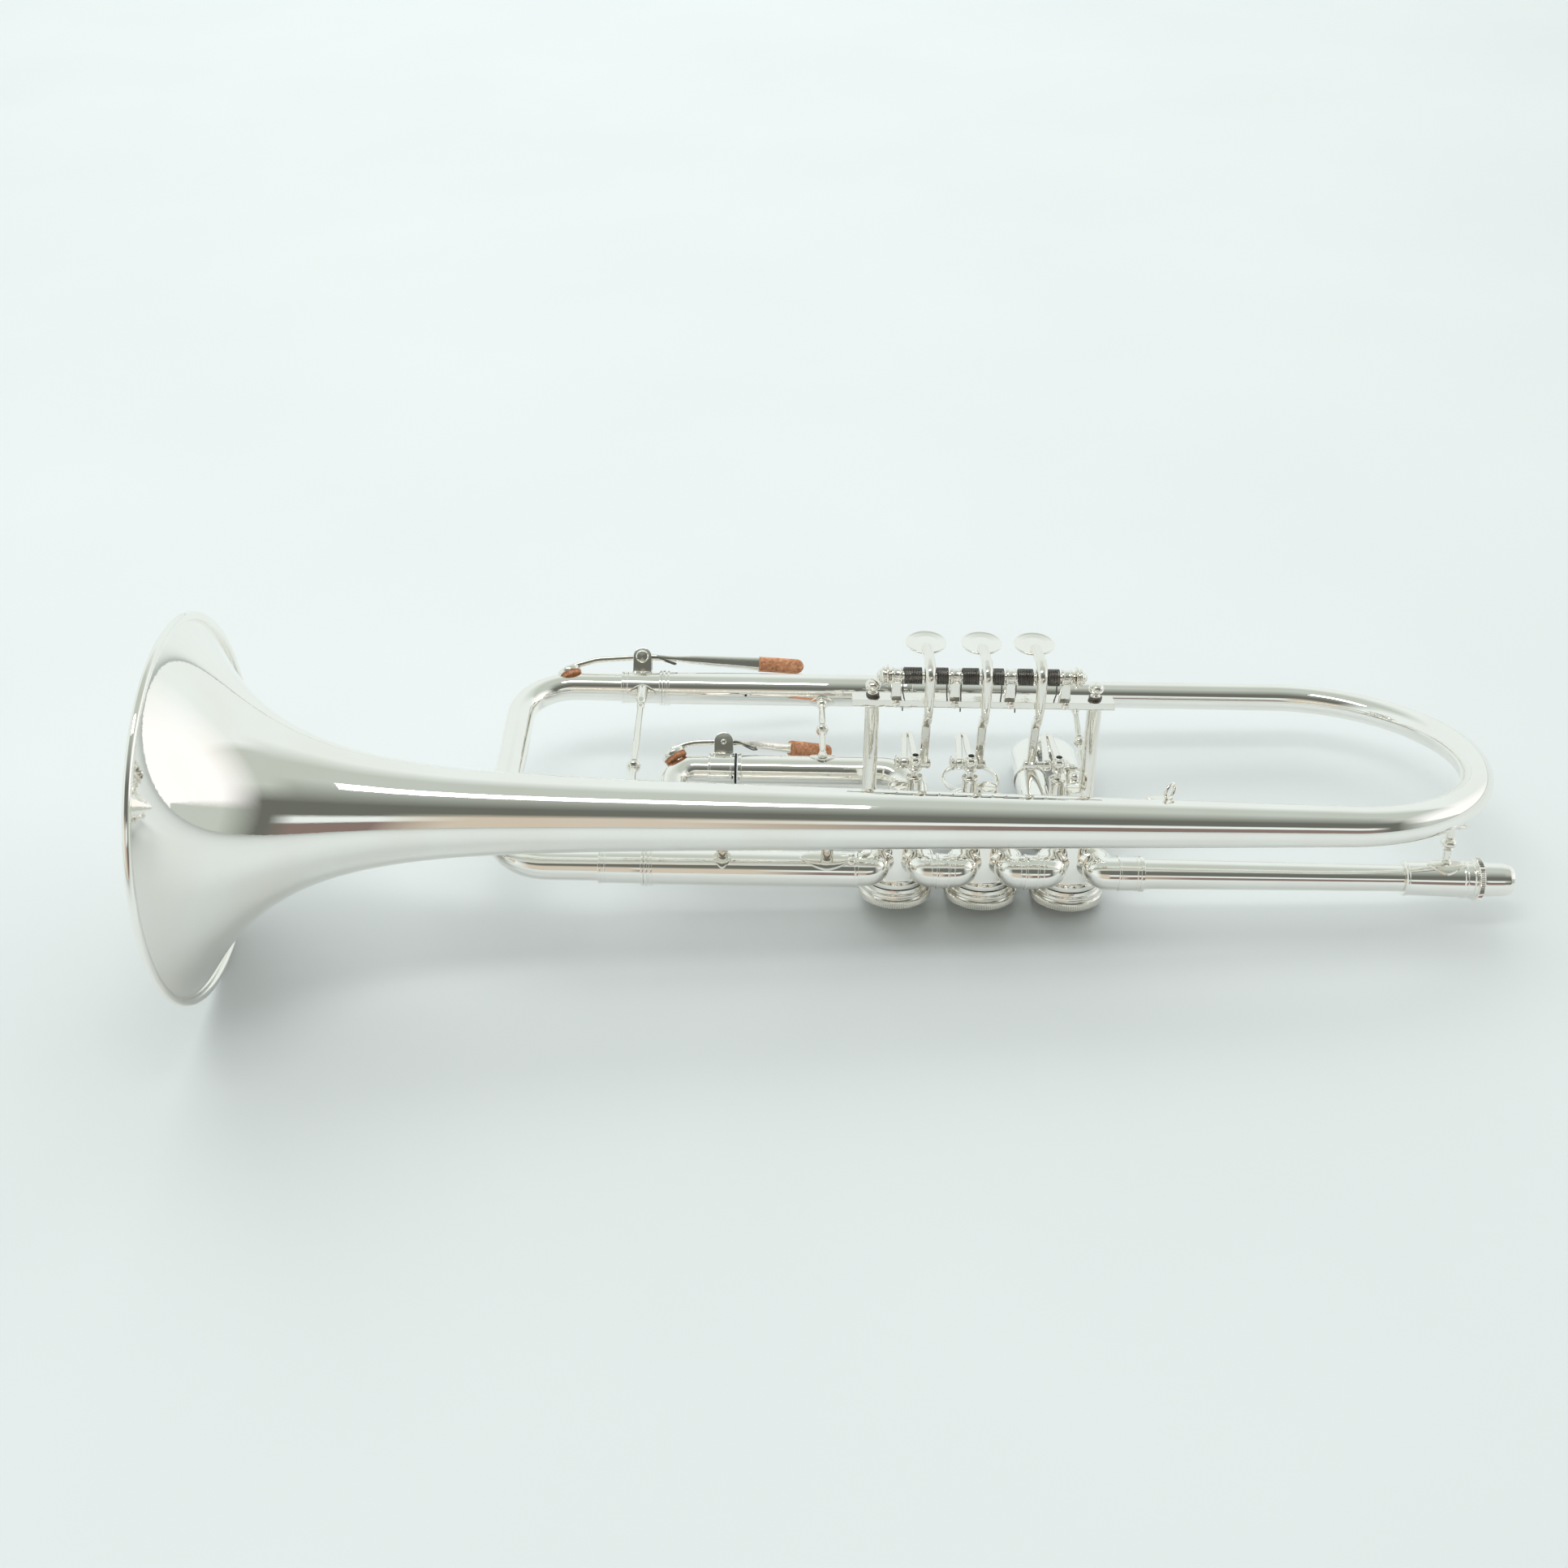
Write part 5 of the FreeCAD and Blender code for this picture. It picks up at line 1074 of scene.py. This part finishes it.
def make_braces():
    """Braces between tubes, leaf-shaped flanges and the small hook on the bell tail."""
    third_x, first_x, first_y = -60.5, 45, 50
    third_start = at(UPPER, third_x) + V((0, -5.4, -2.4))
    third_end = at(THIRD_UPPER, third_x) + V((0, -1, 5.6))
    first_start = at(UPPER, first_x) + V((0, -3.5, -3.5))
    first_end = V((first_x, first_y, LINE.z + 5.4))
    leg = V((PITCH + LOOP_SIDE, first_y, LINE.z))
    shapes = [
        brace(third_start, third_end, 1.6),
        ball(third_start + (third_end - third_start) * 0.05, 2.5),
        patch(at(THIRD_UPPER, third_x), LOOP_RADIUS, V((0, 0.1, 1)), 5.5, 0.6, 0.6),
        patch(at(UPPER, third_x), SLIDE_RADIUS, V((0, -1, -0.5)), 5.5, 0.6, 0.6),
        brace(first_start, first_end, 1.4),
        ball(leg + Z * LOOP_RADIUS, 2.4),
        patch(at(UPPER, first_x), 5.4, V((0, -1, -0.9)), 5.5, 0.6, 0.6),
    ]
    piece("slide_braces", "horn", CAST, *shapes)
    stay_x = 168.9
    bow_centre = (at(BELL, BOW_START) + at(UPPER, BOW_START)) / 2
    bow_radius = (UPPER - BELL).length / 2
    drop = math.sqrt(bow_radius ** 2 - (stay_x - bow_centre.x) ** 2)
    bow_point = at(bow_centre, stay_x) + (BELL - UPPER).normalized() * drop
    low = at(LINE, stay_x) + Z * 6
    high = bow_point + V((0, 0.6, -5.4))
    shapes = [brace(low, high, 1.8),
              patch(at(LINE, stay_x), 6.6, V((0, -0.15, 1)), 7.0, 0.75, 0.7),
              patch(at(bow_point, stay_x) + V((0, 0, -0.6)), 6.6, V((0, -0.2, -1)), 6.0, 0.7, 0.6)]
    piece("receiver_brace", "horn", CAST, *shapes)
    stays = []
    for x, half_length in ((-98.0, 3.6), (-59.5, 10.4)):
        stays.append(patch(at(LINE, x), SLIDE_RADIUS, V((0, -0.42, 0.9)), half_length, 0.72, 0.9))
        bell_radius = bell_outline(x - BELL_MOUTH)
        stays.append(patch(at(BELL, x), bell_radius, V((0, 0.42, -0.9)), half_length + 2, 0.34, 0.8))
        post = [at(LINE, x) + V((0, -1, 5.5)), at(BELL, x) + V((0, 3, 3 - bell_radius))]
        stays.append(bar(filled_in(post, 1.5), lambda f: (2.3, 2.0 - 0.5 * math.sin(math.pi * f)), side=X))
    stays.append(ball(at(LINE, -50.5) + V((0, -4.0, 5.6)), 1.7))
    piece("bell_stays", "horn", CAST, *stays)
    hook_x = 58.5
    tail_radius = bell_outline(hook_x - BELL_MOUTH)
    seat = at(BELL, hook_x) + V((0, 4.5, tail_radius - 2.2))
    base = [seat + V((-5, 0, 0.9)), seat + V((4, 0, 0.9))]
    loop_turn = Matrix.Rotation(math.radians(90), 3, V((1, 0.9, 0)))
    loop_centre = seat + V((3, 0, 4.4))
    around = [V((2.3 * math.cos(angle), 2.7 * math.sin(angle), 0)) for angle in circle(40)]
    loop_path = [loop_centre + loop_turn @ spot for spot in around]
    hook = [bar(filled_in(base, 1), lambda f: (1.9 * math.sin(math.pi * (0.12 + 0.76 * f)), 0.8), side=Y,
                square=0.3),
            bar(loop_path, 0.75, sides=16, loop=True)]
    piece("bell_hook", "horn", CAST, *hook)


make_bell()
make_leadpipe()
make_casings()
make_knuckles()
make_stop_arms()
make_main_slide_tubes()
make_tuning_slide()
make_valve_slides()
make_mechanism_frame()
for index, valve_x, side, lever_x in VALVES:
    make_lever(index, valve_x, side, lever_x)
    make_link(index, valve_x, side)
make_braces()

# CAD nodes that still show get the same finishes.
KEPT_FINISH = {"rotor_1": BRASS, "rotor_2": BRASS, "rotor_3": BRASS, "bearing_plates": BRASS,
               "stop_corks": RUBBER, "tuning_slide_legs": POLISHED}
for name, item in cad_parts.items():
    item.data.materials.clear()
    item.data.materials.append(KEPT_FINISH.get(name, POLISHED))


# ---------------------------------------------------------------- floor, light and camera
def make_floor():
    """A plain pale sheet, slightly mottled, that the horn lies on."""
    material, tree, shader, coordinates = new_material("pale_paper")
    mottle = noise(tree, coordinates, 5.0, 3.0)
    colours = [(0.3, (0.695, 0.722, 0.73)), (0.7, (0.715, 0.742, 0.75))]
    tree.links.new(ramp(tree, mottle, colours), shader.inputs["Base Color"])
    shader.inputs["Roughness"].default_value = 0.7
    shader.inputs["Specular IOR Level"].default_value = 0.2
    mesh = bpy.data.meshes.new("floor")
    half = 4.0
    corners = [(-half, -half, 0), (half, -half, 0), (half, half, 0), (-half, half, 0)]
    mesh.from_pydata(corners, [], [(0, 1, 2, 3)])
    mesh.materials.append(material)
    floor = shown("floor", mesh)


# Tones of the plain studio round the horn and of its lamps, as linear light.
DIM_ROOM = (0.15, 0.16, 0.14)
BROWN_SHADE = (0.25, 0.19, 0.17)
WARM_TABLE = (0.65, 0.58, 0.48)
GREY_PAPER = (0.55, 0.60, 0.55)
WHITE_PAPER = (0.85, 0.92, 0.90)
BRIGHT_CLOTH = (1.1, 1.1, 1.1)
LIGHT_COLOUR = (0.98, 1.0, 1.0)
# The camera, by the horn's own axes: the shift is along X and up the picture, in millimetres.
CAMERA_LIFT = math.radians(27)
CAMERA_ROLL = math.atan(0.0157)
CAMERA_SHIFT = (-75.7, 40.88)
CAMERA_DISTANCE = 698
CAMERA_LENS = 41.74


def math_node(tree, operation, *values):
    """A math node over sockets and numbers."""
    item = tree.nodes.new("ShaderNodeMath")
    item.operation = operation
    for socket, value in zip(item.inputs, values):
        if isinstance(value, (int, float)):
            socket.default_value = value
        else:
            tree.links.new(value, socket)
    return item.outputs[0]


def make_room():
    """The studio as the world's colour, by the angle from the front horizon over the top.

    In front, a table and papers lie under a dim room; paper hangs above and behind. A wall and
    bright cloth close the right end, and white paper the left. Below the horizon it is mirrored.
    """
    world = bpy.data.worlds.new("studio")
    bpy.context.scene.world = world
    world.use_nodes = True
    tree = world.node_tree
    background = tree.nodes["Background"]
    direction = tree.nodes.new("ShaderNodeTexCoord").outputs["Generated"]
    split = tree.nodes.new("ShaderNodeSeparateXYZ")
    tree.links.new(direction, split.inputs[0])
    toward = math_node(tree, "MULTIPLY", split.outputs["Y"], -1.0)
    height = math_node(tree, "ABSOLUTE", split.outputs["Z"])
    angle = math_node(tree, "ARCTAN2", height, toward)
    share = math_node(tree, "DIVIDE", angle, math.pi)

    def by_angle(*stops):
        return ramp(tree, share, [(degrees / 180, tone) for degrees, tone in stops])

    overhead = ((50, DIM_ROOM), (90, GREY_PAPER), (115, GREY_PAPER), (140, WHITE_PAPER))
    front_left = by_angle((0, WARM_TABLE), (25, WARM_TABLE), (35, DIM_ROOM), *overhead)
    front_right = by_angle((0, BROWN_SHADE), (15, BROWN_SHADE), (18, WHITE_PAPER), (25, WHITE_PAPER),
                           (30, DIM_ROOM), *overhead)
    right_wall = by_angle((0, DIM_ROOM), (50, DIM_ROOM), (75, GREY_PAPER), (120, GREY_PAPER),
                          (130, WHITE_PAPER))
    cloth = by_angle((0, GREY_PAPER), (35, GREY_PAPER), (50, BRIGHT_CLOTH))
    to_right = split.outputs["X"]
    to_left = math_node(tree, "MULTIPLY", to_right, -1.0)
    sky = blend(tree, mask(tree, to_right, 0.0, 0.15), front_left, front_right)
    sky = blend(tree, mask(tree, to_right, 0.5, 0.65), sky, right_wall)
    sky = blend(tree, mask(tree, to_right, 0.7, 0.9), sky, cloth)
    sky = blend(tree, mask(tree, to_left, 0.50, 0.80), sky, WHITE_PAPER)
    tree.links.new(sky, background.inputs["Color"])


def area_light(name, place, aim, size, power, mirrored=False):
    """A rectangular soft light, which the silver mirrors only where asked."""
    data = bpy.data.lights.new(name, "AREA")
    data.shape = "RECTANGLE"
    data.size, data.size_y = size
    data.energy = power
    data.color = LIGHT_COLOUR
    item = shown(name, data)
    item.location = place
    item.rotation_mode = "QUATERNION"
    item.rotation_quaternion = (V(aim) - V(place)).to_track_quat("-Z", "Y")
    item.visible_glossy = mirrored


def make_camera():
    """The photograph's view: well above the horn's own XY plane, and a short way off."""
    up = V((0, math.sin(CAMERA_LIFT), math.cos(CAMERA_LIFT)))
    ahead = V((0, math.cos(CAMERA_LIFT), -math.sin(CAMERA_LIFT)))
    place = X * CAMERA_SHIFT[0] + up * CAMERA_SHIFT[1] - ahead * CAMERA_DISTANCE
    right = X * math.cos(CAMERA_ROLL) + up * math.sin(CAMERA_ROLL)
    above = up * math.cos(CAMERA_ROLL) - X * math.sin(CAMERA_ROLL)
    columns = Matrix((right, above, -ahead)).transposed().to_4x4()
    pose = HORN_TO_ROW @ Matrix.Translation(place) @ columns
    pose.translation *= MILLIMETRE
    data = bpy.data.cameras.new("camera")
    data.sensor_width = 36
    data.lens = CAMERA_LENS
    data.clip_start, data.clip_end = 0.01, 50
    item = shown("camera", data)
    item.matrix_world = pose
    bpy.context.scene.camera = item


make_floor()
make_room()
area_light("overhead", (-0.24, -0.165, 1.15), (-0.24, -0.04, 0.06), (0.76, 0.20), 2.4, mirrored=True)
area_light("ceiling", (-0.25, 0.25, 1.2), (-0.25, 0.2, 0.0), (2.4, 2.4), 8.0)
area_light("right_window", (1.5, 0.4, 1.0), (0.0, 0.2, 0.0), (1.6, 1.0), 2.0)
area_light("back_wash", (-0.3, 2.0, 1.5), (-0.1, 0.8, 0.0), (3.0, 1.8), 25.0)
make_camera()
bpy.context.scene.view_settings.view_transform = "Standard"
